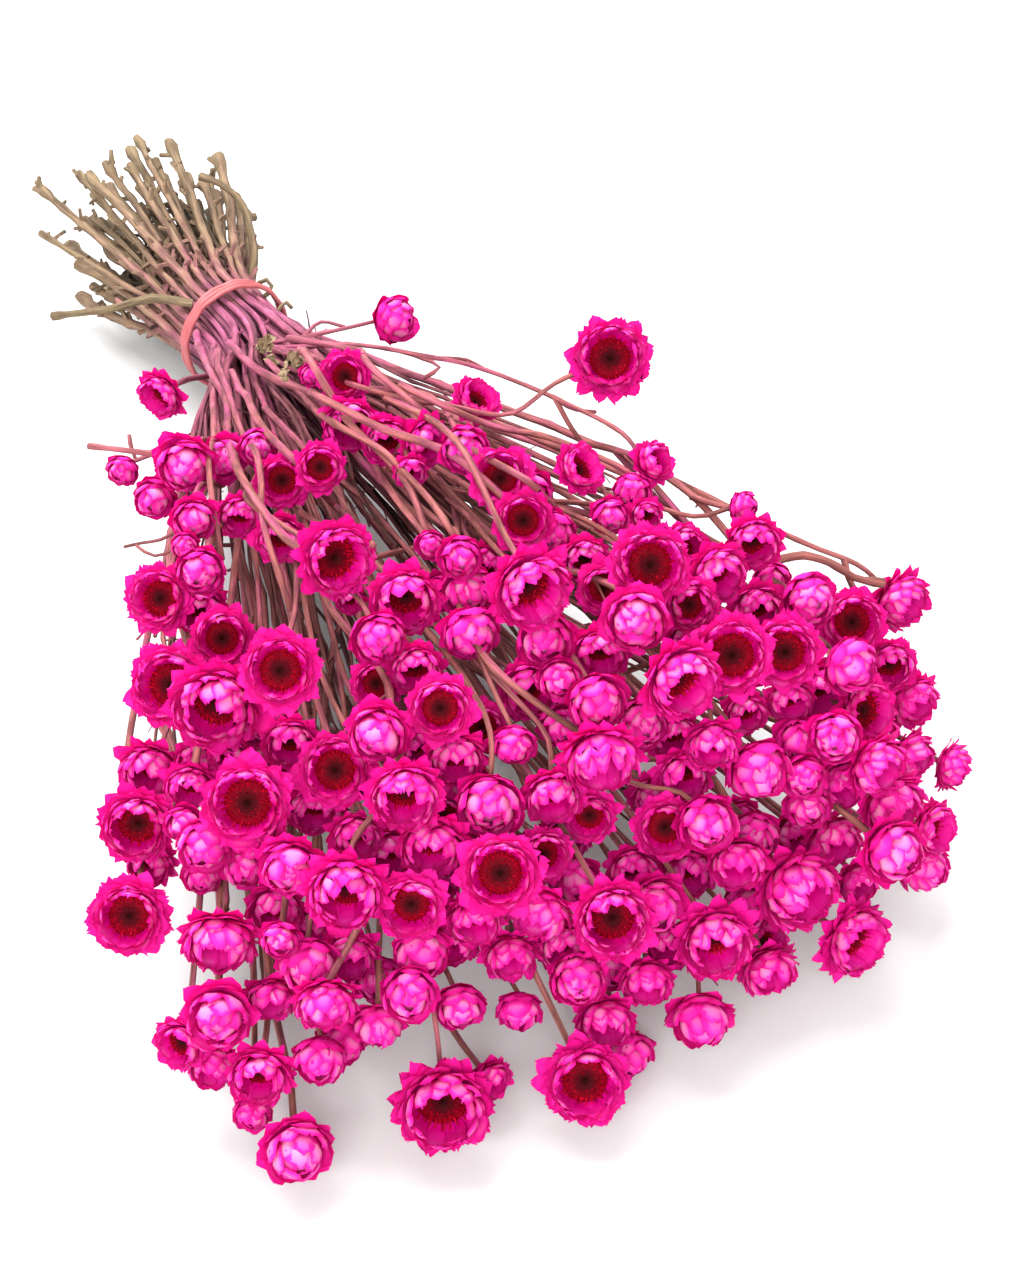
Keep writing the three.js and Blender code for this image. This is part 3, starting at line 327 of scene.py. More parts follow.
def kinks(count, step, chance, reach, tail=0, gap=JOINT_GAPS):
    """Where a dried stem turns a little at its joints: its sideways shifts, and the numbers of the
    joints' rings. The joints lie closer together in the tail, which is tail millimetres long."""
    joints = [0]
    at = chance.uniform(*gap) * (0.3 if tail else 1)
    while at < (count - 3) * step:
        joints.append(max(int(at / step), joints[-1] + 1))
        at += chance.uniform(*gap) * (0.42 if at < tail else 1)
    joints.append(count - 1)
    bends = [reach * (0.6 if k * step < tail else 1) for k in joints[1:-1]]
    shifts = [[0, 0, 0]] + [[chance.gauss(0, bend) for _ in range(3)] for bend in bends] + [[0, 0, 0]]
    sway = [np.interp(np.arange(count), joints, shift) for shift in zip(*shifts)]
    return np.column_stack(sway), joints[1:-1]


def hold_in_tie(places, radius):
    """Presses a way together where the tie holds it, and leaves it free further into the fan."""
    away = places[:, 1] - TIE_PLACE[1]
    middle_x = TIE_PLACE[0] - away * math.tan(TIE_TURN)
    cross = np.column_stack([places[:, 0] - middle_x, places[:, 2] - TIE_PLACE[2]])
    far = np.linalg.norm(cross, axis=1)
    room = TIE_RADIUS - radius + np.maximum(np.abs(away) - TIE_HALF_LENGTH, 0) * 0.6
    free = np.clip((-away - 22) / 24, 0, 1)
    squeeze = mix(np.minimum(room / np.maximum(far, 1e-6), 1), 1, free)
    held = places.copy()
    held[:, 0] = middle_x + cross[:, 0] * squeeze
    held[:, 2] = TIE_PLACE[2] + cross[:, 1] * squeeze
    return held


def stem_radii(count, thick, thin, joints, chance):
    """A stick's radius at each ring: it thins to the far end and swells at its joints."""
    radii = thick + (thin - thick) * np.linspace(0, 1, count) ** 0.8
    for k in joints:
        radii[k] *= chance.uniform(*JOINT_SWELL)
    return radii


def any_way(chance):
    """A chance lean, up to one each way."""
    return np.array([chance.uniform(-1, 1) for _ in range(3)])


def grow_twig(gathering, start, direction, length, radius, chance, dye, cut_end=False):
    """A short stub or twig that tapers and bends a little, rooted inside what it grows from."""
    bend = any_way(chance) * 0.5
    share = np.linspace(0, 1, max(int(length / 2.2), 3) + 1)[:, None]
    places = start + unit(direction) * length * share + bend * length * share ** 2 * 0.5
    radii = radius * (1.15 - 0.55 * share[:, 0])
    radii[-1] *= chance.uniform(1.1, 1.7)
    grow_stick(gathering, places, radii, 5, chance, dye, cut_end)
    return places[-2], places[-1] - places[-2]


class Finish:
    """A material whose nodes are laid one after another, each fed by values or by other nodes."""

    def __init__(self, name):
        self.material = bpy.data.materials.new(name)
        self.material.use_nodes = True
        self.nodes = self.material.node_tree.nodes
        self.surface = self.nodes["Principled BSDF"]

    def feed(self, node, sockets):
        for name, value in sockets.items():
            if isinstance(value, bpy.types.NodeSocket):
                self.material.node_tree.links.new(value, node.inputs[name])
            else:
                node.inputs[name].default_value = value

    def lay(self, kind, sockets, **settings):
        node = self.nodes.new("ShaderNode" + kind)
        for name, value in settings.items():
            setattr(node, name, value)
        self.feed(node, sockets)
        return node

    def mark(self, name):
        """One of the mesh's own marks."""
        return self.lay("Attribute", {}, attribute_name=name).outputs["Vector"]

    def parts(self, vector):
        return self.lay("SeparateXYZ", {0: vector}).outputs

    def noise(self, vector, scale, detail, roughness=0.5):
        sockets = {"Vector": vector, "Scale": scale, "Detail": detail, "Roughness": roughness}
        return self.lay("TexNoise", sockets).outputs["Fac"]

    def ranged(self, value, from_ends=(0.0, 1.0), to_ends=(0.0, 1.0)):
        sockets = {"Value": value, "From Min": from_ends[0], "From Max": from_ends[1],
                   "To Min": to_ends[0], "To Max": to_ends[1]}
        return self.lay("MapRange", sockets).outputs["Result"]

    def math(self, operation, *values):
        return self.lay("Math", dict(enumerate(values)), operation=operation).outputs[0]

    def scaled(self, vector, scale):
        return self.lay("VectorMath", {0: vector, "Scale": scale}, operation="SCALE").outputs["Vector"]

    def ramp(self, value, *steps):
        """Colours, each at its place along a value."""
        node = self.lay("ValToRGB", {"Fac": value})
        ends = node.color_ramp.elements
        for end, (position, colour) in ((ends[0], steps[0]), (ends[1], steps[-1])):
            end.position, end.color = position, (*colour, 1)
        for position, colour in steps[1:-1]:
            ends.new(position).color = (*colour, 1)
        return node.outputs["Color"]

    def blend(self, share, first, colour):
        sockets = {"Factor": share, "A": first, "B": (*colour, 1)}
        return self.lay("Mix", sockets, data_type="RGBA").outputs["Result"]

    def relieve(self, height, strength, distance, specular):
        """Fine relief and a dull sheen."""
        sockets = {"Height": height, "Strength": strength, "Distance": distance}
        relief = self.lay("Bump", sockets).outputs["Normal"]
        self.feed(self.surface, {"Normal": relief, "Specular IOR Level": specular})


def wood_material():
    """Bare tan wood behind the tie and dyed wood before it, with streaks along the grain."""
    finish = Finish("dyed dry wood")
    bark = finish.mark("bark")
    reach, dye, cut = finish.parts(finish.mark("growth"))

    patches = finish.noise(bark, 0.9, 3)
    place = finish.math("MULTIPLY_ADD", patches, 0.16, finish.ranged(reach, (-0.9, 3.2)))
    colour = finish.ramp(
        finish.math("SUBTRACT", place, 0.08),
        (0.0, (0.16, 0.115, 0.064)), (0.12, (0.175, 0.115, 0.07)), (0.19, (0.22, 0.09, 0.085)),
        (0.24, (0.30, 0.080, 0.15)), (0.36, (0.29, 0.080, 0.115)), (0.6, (0.27, 0.080, 0.078)),
        (1.0, (0.20, 0.070, 0.055)))

    elsewhere = finish.lay("VectorMath", {0: bark, 1: (4.0, 7.0, 11.0)}, operation="ADD").outputs["Vector"]
    stained = finish.ranged(finish.noise(elsewhere, 0.55, 2), (0.45, 0.75))
    soaked = finish.ranged(reach, (-0.5, -0.05), (0.15, 1.0))
    share = finish.math("MULTIPLY", finish.math("MULTIPLY", stained, dye), soaked)
    colour = finish.blend(share, colour, (0.32, 0.040, 0.14))

    stretch = finish.lay("VectorMath", {0: bark, 1: (5.0, 5.0, 1.3)}, operation="MULTIPLY").outputs["Vector"]
    streaks = finish.noise(stretch, 1.0, 5, 0.65)
    depth = finish.ranged(streaks, (0.3, 0.7), (0.6, 1.4))
    faded = finish.ranged(patches, (0.3, 0.7), (1.5, 0.5))
    # dye below none darkens the wood: a painted shade on the thin stems inside the bunch, and a darker tone
    # on some loose twigs
    painted_shade_and_tone = finish.ranged(dye, (-1.0, 0.0), (0.2, 1.0))
    tone = finish.math("MULTIPLY", finish.math("MULTIPLY", depth, faded), painted_shade_and_tone)
    colour = finish.blend(cut, finish.scaled(colour, tone), (0.36, 0.27, 0.15))
    dullness = finish.ranged(streaks, to_ends=(0.55, 0.8))
    finish.feed(finish.surface, {"Base Color": colour, "Roughness": dullness})
    finish.relieve(streaks, 0.7, 0.0004, 0.2)
    return finish.material


wood = wood_material()
GROUPS = 7
spray_names = sorted(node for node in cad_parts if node.startswith("spray"))
sprays = [spray_limbs(node) for node in spray_names]
share = math.ceil(len(sprays) / GROUPS)
groups = [list(range(start, min(start + share, len(sprays)))) for start in range(0, len(sprays), share)]

# the tail behind the tie: how much stouter and how much longer its wood may be than in the solids,
# how far it leans aside, where its middle lies, and where stubs start and stop round the tie
TAIL_SWELL = 1.02
CUT_SPARE = 9
TAIL_ASIDE = 3
TAIL_MIDDLE = np.mean([limb["way"][0] for spray in sprays for limb in spray if limb["main"]], axis=0)
STUBS_FROM = 16
STUBLESS = 12


def thicken_tail(ways, radii, chance):
    """The old wood behind the tie is stouter and ends in a knob."""
    behind = np.clip((ways[:, 1] - TIE_PLACE[1] - 8) / 40, 0, 1)
    radii *= 1 + (TAIL_SWELL * chance.uniform(0.85, 1.15) - 1) * behind
    radii[:1] *= chance.uniform(1.1, 1.4)
    radii[1:2] *= chance.uniform(1.25, 1.6)


def grow_stubs(gathering, ways, radii, joints, chance, dye):
    """Stubs and short dry twigs at a stem's joints, thick and close in the tail and thin in the fan."""
    for k in joints:
        in_tail = ways[k][1] > TIE_PLACE[1] + STUBS_FROM
        if abs(ways[k][1] - TIE_PLACE[1]) < STUBLESS:
            continue
        for _ in range(2 if in_tail else 1):
            if chance.random() > (0.66 if in_tail else 0.3):
                continue
            towards = max(k - 2, 0) if in_tail else min(k + 2, len(ways) - 1)
            heading = unit(unit(ways[towards] - ways[k]) + unit(any_way(chance)) * 0.95)
            length = chance.uniform(2.5, 6.5) if in_tail else chance.uniform(3, 9)
            thin = max(radii[k] * 0.62, 0.8) if in_tail else radii[k] * 0.36
            end, onward = grow_twig(gathering, ways[k], heading, length, thin, chance, dye, cut_end=in_tail)
            if in_tail and chance.random() < 0.6:
                onward = unit(onward) + any_way(chance) * 0.8
                grow_twig(gathering, end, onward, chance.uniform(1.5, 4), thin * 0.8, chance, dye)


def grow_stem(gathering, way, chance):
    """A stem with a head at its end, from its cut end through the tie and into the fan."""
    spare = CUT_SPARE if way[0][2] > TAIL_MIDDLE[2] else CUT_SPARE / 4
    way = [way[0] + unit(way[0] - way[1]) * chance.uniform(0, spare)] + way[1:]
    ways = smooth_way(way, STEP)
    ways[:, 0] += TAIL_ASIDE * np.clip((ways[:, 1] - TIE_PLACE[1] - 10) / 80, 0, 1)
    sway, joints = kinks(len(ways), STEP, chance, 0.55, way[0][1] - TIE_PLACE[1])
    thick = STEM_RADIUS * chance.uniform(0.78, 1.22)
    ways = hold_in_tie(ways + sway, thick)
    dye = chance.uniform(0.1, 1.0)
    radii = stem_radii(len(ways), thick, thick * 0.5, joints, chance)
    thicken_tail(ways, radii, chance)
    grow_stubs(gathering, ways, radii, joints, chance, dye)
    grow_stick(gathering, ways, radii, 8, chance, dye, cut_end=True)
    return ways


def grow_stalk(gathering, way, chance):
    """A side stalk that forks off a stem and carries a head."""
    ways = smooth_way(way, STEP)
    sway, joints = kinks(len(ways), STEP, chance, 0.35)
    thick = STALK_RADIUS * chance.uniform(0.85, 1.15)
    ways = hold_in_tie(ways + sway, thick)
    dye = chance.uniform(0.1, 1.0)
    radii = stem_radii(len(ways), thick * 1.15, thick * 0.85, joints, chance)
    grow_stick(gathering, ways, radii, 6, chance, dye)
    return ways


def grow_thin_stem(gathering, one, other, chance):
    """A thinner stem of the same bunch, that runs between two of those that carry heads."""
    length = min(len(one), len(other))
    start = chance.randrange(2, 16)
    stop = int(length * chance.uniform(0.7, 0.97))
    lean = np.linspace(chance.uniform(0.1, 0.9), chance.uniform(0.1, 0.9), stop)[:, None]
    ways = (one[:stop] * (1 - lean) + other[:stop] * lean)[start:]
    behind = np.clip((ways[:, 1] - TIE_PLACE[1] - 6) / (TAIL_MIDDLE[1] - TIE_PLACE[1]), 0, 1)[:, None]
    within = mix(TIE_PLACE, TAIL_MIDDLE, behind) * [1, 0, 1] + ways * [0, 1, 0]
    ways = mix(ways, within, 0.25 * np.minimum(behind * 2, 1))
    ways = ways + behind * [chance.uniform(-6, 6), 0, chance.uniform(-6, 6)]
    sway, joints = kinks(len(ways), STEP, chance, 0.7, ways[0][1] - TIE_PLACE[1])
    thick = THIN_STEM_RADIUS * chance.uniform(0.7, 1.25)
    ways = hold_in_tie(ways + sway, thick)
    # below none: these stems inside the bunch take no dye, and the wood paints them darker as shade
    dye = chance.uniform(-1.0, -0.1)
    radii = stem_radii(len(ways), thick, thick * 0.5, joints, chance)
    thicken_tail(ways, radii, chance)
    grow_stubs(gathering, ways, radii, joints, chance, dye)
    grow_stick(gathering, ways, radii, 4, chance, dye, cut_end=True)


every_way = []
for number, group in enumerate(groups, 1):
    stems = Gathering()
    mains = []
    for place in group:
        chance = random.Random(4100 + place)
        for limb in sprays[place]:
            if limb["main"]:
                ways = grow_stem(stems, limb["way"], chance)
                mains.append(ways)
            else:
                ways = grow_stalk(stems, limb["way"], chance)
            every_way.append(ways)

    chance = random.Random(5300 + number)
    for apart in (1, 2, 3):
        for i, one in enumerate(mains):
            grow_thin_stem(stems, one, mains[(i + apart) % len(mains)], chance)
    names = [spray_names[place] for place in group]
    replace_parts(stems.piece(f"stems_{number}", wood), *names)


# Loose twigs
# Bare side twigs and a bowed stem that stand out from the bunch, and bold stems that lie over it.
# They are grown wood: each twig forks off the stem nearest to its root, and each bold stem lies
# on the stems and heads that are foremost along its way.

# a twig's half thickness, how bare of dye it is, and its way in the photograph's pixels from the root
TWIGS = [
    (1.0, 0.0, [(184, 466), (150, 452), (120, 449), (88, 446)]),
    (0.6, 0.0, [(136, 450), (130, 443), (129, 435)]),
    (0.55, 0.0, [(170, 530), (160, 540), (142, 543), (124, 547)]),
    (0.5, 0.0, [(168, 545), (158, 556), (145, 552), (136, 545)]),
    (1.3, 0.0, [(757, 566), (790, 560), (815, 560), (840, 566), (856, 577), (884, 583)]),
    (1.0, 0.0, [(838, 565), (848, 576), (852, 585), (857, 594)]),
    (0.8, 0.0, [(556, 400), (574, 432), (600, 460), (630, 470)]),
    (0.7, 0.0, [(520, 388), (548, 396), (572, 410), (596, 412)]),
    (0.7, 0.0, [(300, 333), (320, 322), (345, 327)]),
    (0.7, 0.0, [(395, 352), (425, 358), (440, 366), (424, 378)]),
    (0.7, 0.0, [(660, 502), (676, 512), (690, 524)]),
    (0.6, 0.0, [(436, 362), (470, 362), (490, 372)]),
    (1.6, 0.8, [(252, 279), (253, 262), (250, 232), (240, 200), (222, 185), (200, 176)]),
    (1.7, 0.8, [(192, 302), (150, 300), (100, 311), (52, 316)]),
    (0.9, 0.8, [(262, 296), (272, 288), (268, 280), (258, 283)]),
    (0.7, 0.8, [(276, 310), (286, 302), (292, 308)]),
]

# a bold stem's half thickness and its way, in the same terms
OVER_STEMS = [
    (1.35, [(196, 330), (206, 360), (226, 398), (233, 450), (256, 497), (292, 542), (318, 556)]),
    (1.35, [(230, 343), (256, 370), (295, 387), (345, 408), (385, 428), (425, 442), (466, 464),
            (512, 505)]),
    (1.2, [(232, 372), (262, 428), (290, 458), (330, 500), (373, 545)]),
    (1.2, [(300, 350), (320, 372), (336, 400), (352, 427), (382, 455), (408, 487), (430, 543)]),
    (1.1, [(268, 362), (300, 392), (345, 428), (385, 450), (413, 478), (450, 530), (478, 575)]),
    (1.1, [(288, 338), (345, 346), (388, 380), (422, 408), (450, 432), (480, 452), (520, 478), (560, 512)]),
    (1.0, [(400, 385), (439, 404), (490, 425), (560, 443), (621, 470), (650, 490)]),
    (1.0, [(386, 398), (420, 415), (455, 440), (475, 465), (500, 520), (528, 570)]),
    (1.1, [(214, 345), (214, 400), (210, 450), (214, 505), (222, 560)]),
    (1.1, [(218, 350), (240, 420), (262, 480), (268, 540), (290, 610)]),
]
PHOTO_WIDTH = 1024
TWIG_STEP = 2.4
TWIG_GAPS = (7, 16)
OVER_STEP = 3
UNDER_REACH = 6
HEAD_FRONT = 1.1
START_SUNK = 4
END_SUNK = 14


def sight_line(u, v):
    """The direction from the eye through a pixel of the photograph."""
    turned = Matrix.Rotation(-LOOK_TURN, 3, "Z") @ Matrix.Rotation(math.pi / 2 - LOOK_DOWN, 3, "X")
    seen = Vector((u - PHOTO_WIDTH / 2, PHOTO_HEIGHT / 2 - v, -PHOTO_FOCAL))
    return np.array(turned @ seen) / PHOTO_FOCAL


eye = np.array(EYE) / MM
ahead = sight_line(PHOTO_WIDTH / 2, PHOTO_HEIGHT / 2)
stem_places = np.concatenate(every_way)
every_head = [limb["head"] for spray in sprays for limb in spray]
head_places = np.array([head["base"] + head["face"] * head["radius"] * 0.8 for head in every_head])
head_reaches = np.array([head["radius"] for head in every_head])


def depth_and_beside(places, pixel):
    """How far ahead of the eye each place lies, and how far beside a pixel's line of sight."""
    depth = (places - eye) @ ahead
    return depth, np.linalg.norm(places - eye - depth[:, None] * sight_line(*pixel), axis=1)


def lay_twig(gathering, pixels, radius, aged, chance):
    """A twig that leaves the stem seen nearest to its first pixel and keeps to that stem's depth."""
    depth, beside = depth_and_beside(stem_places, pixels[0])
    root = stem_places[np.argmin(beside + depth * 0.05)]
    reach = (root - eye) @ ahead
    places = [root] + [eye + sight_line(*pixel) * reach for pixel in pixels[1:]]
    ways = smooth_way(places, TWIG_STEP)
    sway, joints = kinks(len(ways), TWIG_STEP, chance, 0.35, gap=TWIG_GAPS)
    radii = stem_radii(len(ways), radius, radius * 0.7, joints, chance)
    radii[-2:] *= chance.uniform(1.1, 1.5)
    grow_stick(gathering, ways + sway, radii, 6, chance, chance.uniform(-0.5, 0.3), aged=aged)
    for k in joints:
        if chance.random() < 0.5:
            onward = unit(ways[min(k + 1, len(ways) - 1)] - ways[k]) + any_way(chance) * 0.8
            grow_twig(gathering, ways[k], onward, chance.uniform(2, 5), radius * 0.6, chance, 0.3)


def foremost(pixel):
    """How far ahead of the eye the foremost stem or head at a pixel lies."""
    depth, beside = depth_and_beside(stem_places, pixel)
    nearest = depth[beside < UNDER_REACH].min()
    depth, beside = depth_and_beside(head_places, pixel)
    under = beside < head_reaches
    return min([nearest, *(depth - head_reaches * HEAD_FRONT)[under]])


def lay_over(gathering, pixels, radius, chance):
    """A bold stem that lies on the foremost stems and heads along its way."""
    places = []
    for pixel in pixels:
        sunk = END_SUNK if pixel == pixels[-1] else START_SUNK if pixel == pixels[0] else 0
        places.append(eye + sight_line(*pixel) * (foremost(pixel) - radius + sunk))
    ways = smooth_way(places, OVER_STEP)
    sway, joints = kinks(len(ways), OVER_STEP, chance, 0.5)
    radii = stem_radii(len(ways), radius, radius * 0.75, joints, chance)
    grow_stick(gathering, ways + sway, radii, 7, chance, chance.uniform(0.2, 1.0))


loose = Gathering()
chance = random.Random(8100)
for radius, aged, pixels in TWIGS:
    lay_twig(loose, pixels, radius, aged, chance)
for radius, pixels in OVER_STEMS:
    lay_over(loose, pixels, radius, chance)
loose.piece("loose_twigs", wood)


# Bracts
# The heads' papery bracts, about sixty to a head, in ranks that overlap like roof tiles
# round the disc. Each is a thin dished blade with a ragged point, dyed a hot pink that
# pales on the bulge and outer face of the inner ranks, partly as lighter pigment and partly as
# a painted highlight. They grow straight from the base of the head.
# where a blade's tip lies out and up from the head's base, in radii of the head, and how it leans,
# by rank from the outermost to the one next to the disc, for four degrees of openness
RANKS = np.linspace(0, 1, 6)
OPENNESS = np.array([0.05, 0.22, 0.48, 0.95])
TIP_OUT = [
    [1.02, 1.00, 0.88, 0.62, 0.34, 0.10],
    [1.04, 1.01, 0.92, 0.60, 0.30, 0.09],
    [1.02, 1.00, 0.90, 0.74, 0.57, 0.42],
    [1.04, 1.02, 0.94, 0.82, 0.70, 0.60],
]
TIP_UP = [
    [0.56, 0.92, 1.20, 1.42, 1.54, 1.56],
    [0.38, 0.64, 0.94, 1.24, 1.38, 1.40],
    [0.32, 0.56, 0.82, 1.02, 1.12, 1.14],
    [0.26, 0.44, 0.64, 0.80, 0.90, 0.92],
]
TIP_LEAN = np.radians([
    [40, 95, 118, 138, 152, 165],
    [0, 40, 85, 140, 155, 168],
    [-5, 35, 76, 108, 126, 136],
    [-12, 16, 54, 88, 108, 120],
])

# how far one blade may differ from the next: in openness, rank, lean, length, the rise of its foot,
# its place round the head, twist and width
LUCK = np.array([0.05, 0.03, 0.12, 1, 0.06, 0.12, 0.05, 0.07])
BLADE_ROWS = np.array([0.0, 0.26, 0.5, 0.72, 0.89, 1.0])
SHORT_ROWS = np.array([0.0, 0.34, 0.64, 0.87, 1.0])
ROUND_WIDTHS = np.array([0.45, 0.82, 1.0, 0.97, 0.72, 0.20])
POINTED_WIDTHS = np.array([0.52, 0.84, 1.0, 0.90, 0.62, 0.12])
BRACT_THICKNESS = 0.018
HEAD_SWELL = 1.03
SMALL_SWELL = 0.15
SMALL_HEAD = 7.6
SHUT_BELOW = 0.3

# the largest radius of each size of head, the rows and columns of its blades, and the count in
# each rank, for a head that has opened and for one that is shut
SIZES = [
    (5.3, np.array([0.0, 0.42, 0.78, 1.0]), 4, [10, 9, 8, 7, 6], [9, 8, 7, 6, 4]),
    (SMALL_HEAD, SHORT_ROWS, 4, [11, 11, 10, 9, 8, 7], [10, 9, 8, 7, 5]),
    (9.4, SHORT_ROWS, 4, [12, 12, 11, 10, 9, 8], [11, 10, 9, 8, 5]),
    (99, BLADE_ROWS, 5, [13, 13, 12, 11, 10, 9], [12, 11, 10, 8, 6]),
]


def curve_at(p0, p1, p2, p3, share):
    """A bent line and its direction at each share of its length, for many blades at once."""
    s = share[None, :, None]
    a, b, c, d = (p[:, None, :] for p in (p0, p1, p2, p3))
    spot = (1 - s) ** 3 * a + 3 * (1 - s) ** 2 * s * b + 3 * (1 - s) * s ** 2 * c + s ** 3 * d
    heading = 3 * (1 - s) ** 2 * (b - a) + 6 * (1 - s) * s * (c - b) + 3 * s ** 2 * (d - c)
    return spot, heading / np.maximum(np.linalg.norm(heading, axis=2, keepdims=True), 1e-9)


def blade_faces(rows, columns):
    """One closed blade: an inner sheet, and an outer sheet that shares its border."""
    numbers = np.arange(rows * columns).reshape(rows, columns)
    ring = [numbers[:-1, :-1], numbers[:-1, 1:], numbers[1:, 1:], numbers[1:, :-1]]
    front = np.stack(ring, axis=-1).reshape(-1, 4)
    inside = np.arange((rows - 2) * (columns - 2)).reshape(rows - 2, columns - 2) + rows * columns
    numbers[1:-1, 1:-1] = inside
    return np.concatenate([front, numbers.ravel()[front][:, ::-1]])


def by_rank(table, rank, opened):
    """A value from a table of openness by rank, for many blades at once."""
    rows = np.array([np.interp(rank, RANKS, row) for row in table])
    place = np.interp(opened, OPENNESS, np.arange(len(OPENNESS)))
    low = np.clip(place.astype(int), 0, len(OPENNESS) - 2)
    which = np.arange(len(low))
    return mix(rows[low, which], rows[low + 1, which], place - low)


def turned_to(face, roll):
    """The cross directions of a head that looks along face, as columns."""
    side = unit(np.cross(face, [0.2, -0.3, 0.9]))
    across = np.cross(face, side)
    return np.column_stack([
        side * math.cos(roll) + across * math.sin(roll),
        across * math.cos(roll) - side * math.sin(roll),
        face,
    ])


def blade_lines(head, rank, flat, at, lean_luck, long_luck, rise_luck):
    """The middle line of each blade of a rank as it rises and turns, out and up from the base, with
    the line's heading and the direction square to it."""
    count = len(flat)
    collar = max(0, 1 - rank / 0.25) * head["ruff"]
    out = by_rank(TIP_OUT, at, flat)
    up = by_rank(TIP_UP, at, flat) - collar * 0.14
    lean = by_rank(TIP_LEAN, at, flat) - collar * 0.6 + lean_luck
    long = 1 + mix(0.085, 0.035, min(rank * 3, 1)) * long_luck
    foot_out = 0.14 + mix(0.24, 0.36, head["open"]) * rank
    foot = np.column_stack([np.full(count, foot_out), np.full(count, 0.02 + 0.24 * rank)])
    tip = np.column_stack([out, up]) * long[:, None]
    pull = 0.38 * (np.linalg.norm(tip - foot, axis=1) * 1.05)[:, None]
    rising = np.radians(mix(4, 58, rank)) + rise_luck
    leave = foot + pull * np.column_stack([np.cos(rising), np.sin(rising)])
    arrive = tip - pull * np.column_stack([np.cos(lean), np.sin(lean)])
    rows = head["blade"][0]
    spot, heading = curve_at(foot, leave, arrive, tip, rows)
    inward = np.stack([-heading[:, :, 1], heading[:, :, 0]], axis=-1)
    weave = 0.02 * ((np.arange(count) % 2) * 2 - 1)
    return spot + inward * weave[:, None, None] * rows[None, :, None], heading, inward


def blade_marks(rows, columns, rank):
    """The mark blade of each corner of a blade, which is its place across, along and by rank, and
    how far each corner is on the outer side."""
    grid = (len(rows), len(columns))
    shape = [np.broadcast_to(columns, grid), np.broadcast_to(rows[:, None], grid), np.full(grid, rank)]
    shape = np.stack(shape, axis=-1)
    outer_side = np.full(grid, 0.5)
    outer_side[1:-1, 1:-1] = 0.0
    inside = np.ones((grid[0] - 2) * (grid[1] - 2))
    return (np.concatenate([shape.reshape(-1, 3), shape[1:-1, 1:-1].reshape(-1, 3)]),
            np.concatenate([outer_side.ravel(), inside]))


def grow_rank(gathering, head, rank, count, chance, turn):
    """One rank of blades round a head. rank is 0 outermost and 1 next to the disc."""
    shut = head["open"] < SHUT_BELOW
    rows, columns = head["blade"]
    luck = (chance.normal(0, 1, (count, 8)) * LUCK).T
    flat = np.clip(head["open"] + luck[0], 0.05, 0.95)
    spot, heading, inward = blade_lines(head, rank, flat, np.clip(rank + luck[1], 0, 1), *luck[2:5])
    widest = spot[:, :, 0].max(axis=1)

    around = turn + (np.arange(count) + luck[5]) * 2 * math.pi / count
    ray = np.column_stack([np.cos(around), np.sin(around)])
    tangent = np.column_stack([-ray[:, 1], ray[:, 0], np.zeros(count)])
    middle = np.concatenate([spot[:, :, :1] * ray[:, None, :], spot[:, :, 1:]], axis=2)
    normal = np.concatenate([inward[:, :, :1] * ray[:, None, :], inward[:, :, 1:]], axis=2)
    twist = ((0.03 if shut else 0.07) + luck[6])[:, None, None]
    across = tangent[:, None, :] * np.cos(twist) + normal * np.sin(twist)

    rounded = min(rank / 0.35, 1) * (0.45 if shut else 0.8)
    widths = np.interp(rows, BLADE_ROWS, mix(POINTED_WIDTHS, ROUND_WIDTHS, rounded))
    overlap = mix(1.35, 1.6, rank) if shut else mix(0.98, 1.16, min(rank * 1.6, 1))
    half = math.pi * widest / count * overlap * (1 + luck[7])
    sideways = (half[:, None] * widths)[:, :, None] * columns
    ragged = chance.normal(0, 0.012, sideways.shape)
    ragged[:, -1, :] *= 2.0
    ragged[:, 0, :] = 0
    hollow = mix(0.4, 0.54 / np.maximum(widest, 0.3), min(rank * 2, 1))
    dish = np.broadcast_to(hollow, count)[:, None, None] * sideways ** 2 + ragged
    keel = 0.012 * (1 - np.abs(columns))
    front = (middle[:, :, None, :] + across[:, :, None, :] * sideways[..., None]
             + normal[:, :, None, :] * (dish - keel)[..., None])
    saw = chance.normal(0, 0.035, (count, len(columns)))
    onward = np.concatenate([heading[:, -1, :1] * ray, heading[:, -1, 1:]], axis=1)
    front[:, -1] += onward[:, None, :] * saw[..., None]
    back = front[:, 1:-1, 1:-1] - normal[:, 1:-1, None, :] * BRACT_THICKNESS

    places = np.concatenate([front.reshape(count, -1, 3), back.reshape(count, -1, 3)], axis=1)
    size = places.shape[1]
    faces = blade_faces(len(rows), len(columns))[None] + (np.arange(count) * size)[:, None, None]
    shape, outer_side = blade_marks(rows, columns, rank)
    tints = np.repeat(chance.uniform(0, 1, (count, 3)), size, axis=0)
    tints[:, 1] = np.tile(outer_side, count)
    tints[:, 2] = head["luck"]
    faces = faces.reshape(-1, 4)
    gathering.add(on_head(head, places), [faces], blade=np.tile(shape, (count, 1)), luck=tints)


def on_head(head, places):
    """Places given in radii of a head, from its base and along its own axes, as millimetres."""
    return head["base"] + (places * head["full"]) @ head["turn"].T


def lathe(gathering, head, outline, sides, **marks):
    """A turned form on a head's axis. outline is out and up, from the stalk to the top's middle."""
    out, up = np.array(outline).T[:, :, None]
    turn = np.linspace(0, 2 * math.pi, sides, endpoint=False)
    places = np.stack([out * np.cos(turn), out * np.sin(turn), np.repeat(up, sides, axis=1)], axis=-1)
    walls, first, _ = wall_faces(len(outline), sides)
    caps = [first[0][::-1][None], first[-1][None]]
    gathering.add(on_head(head, places.reshape(-1, 3)), [walls] + caps, **marks)


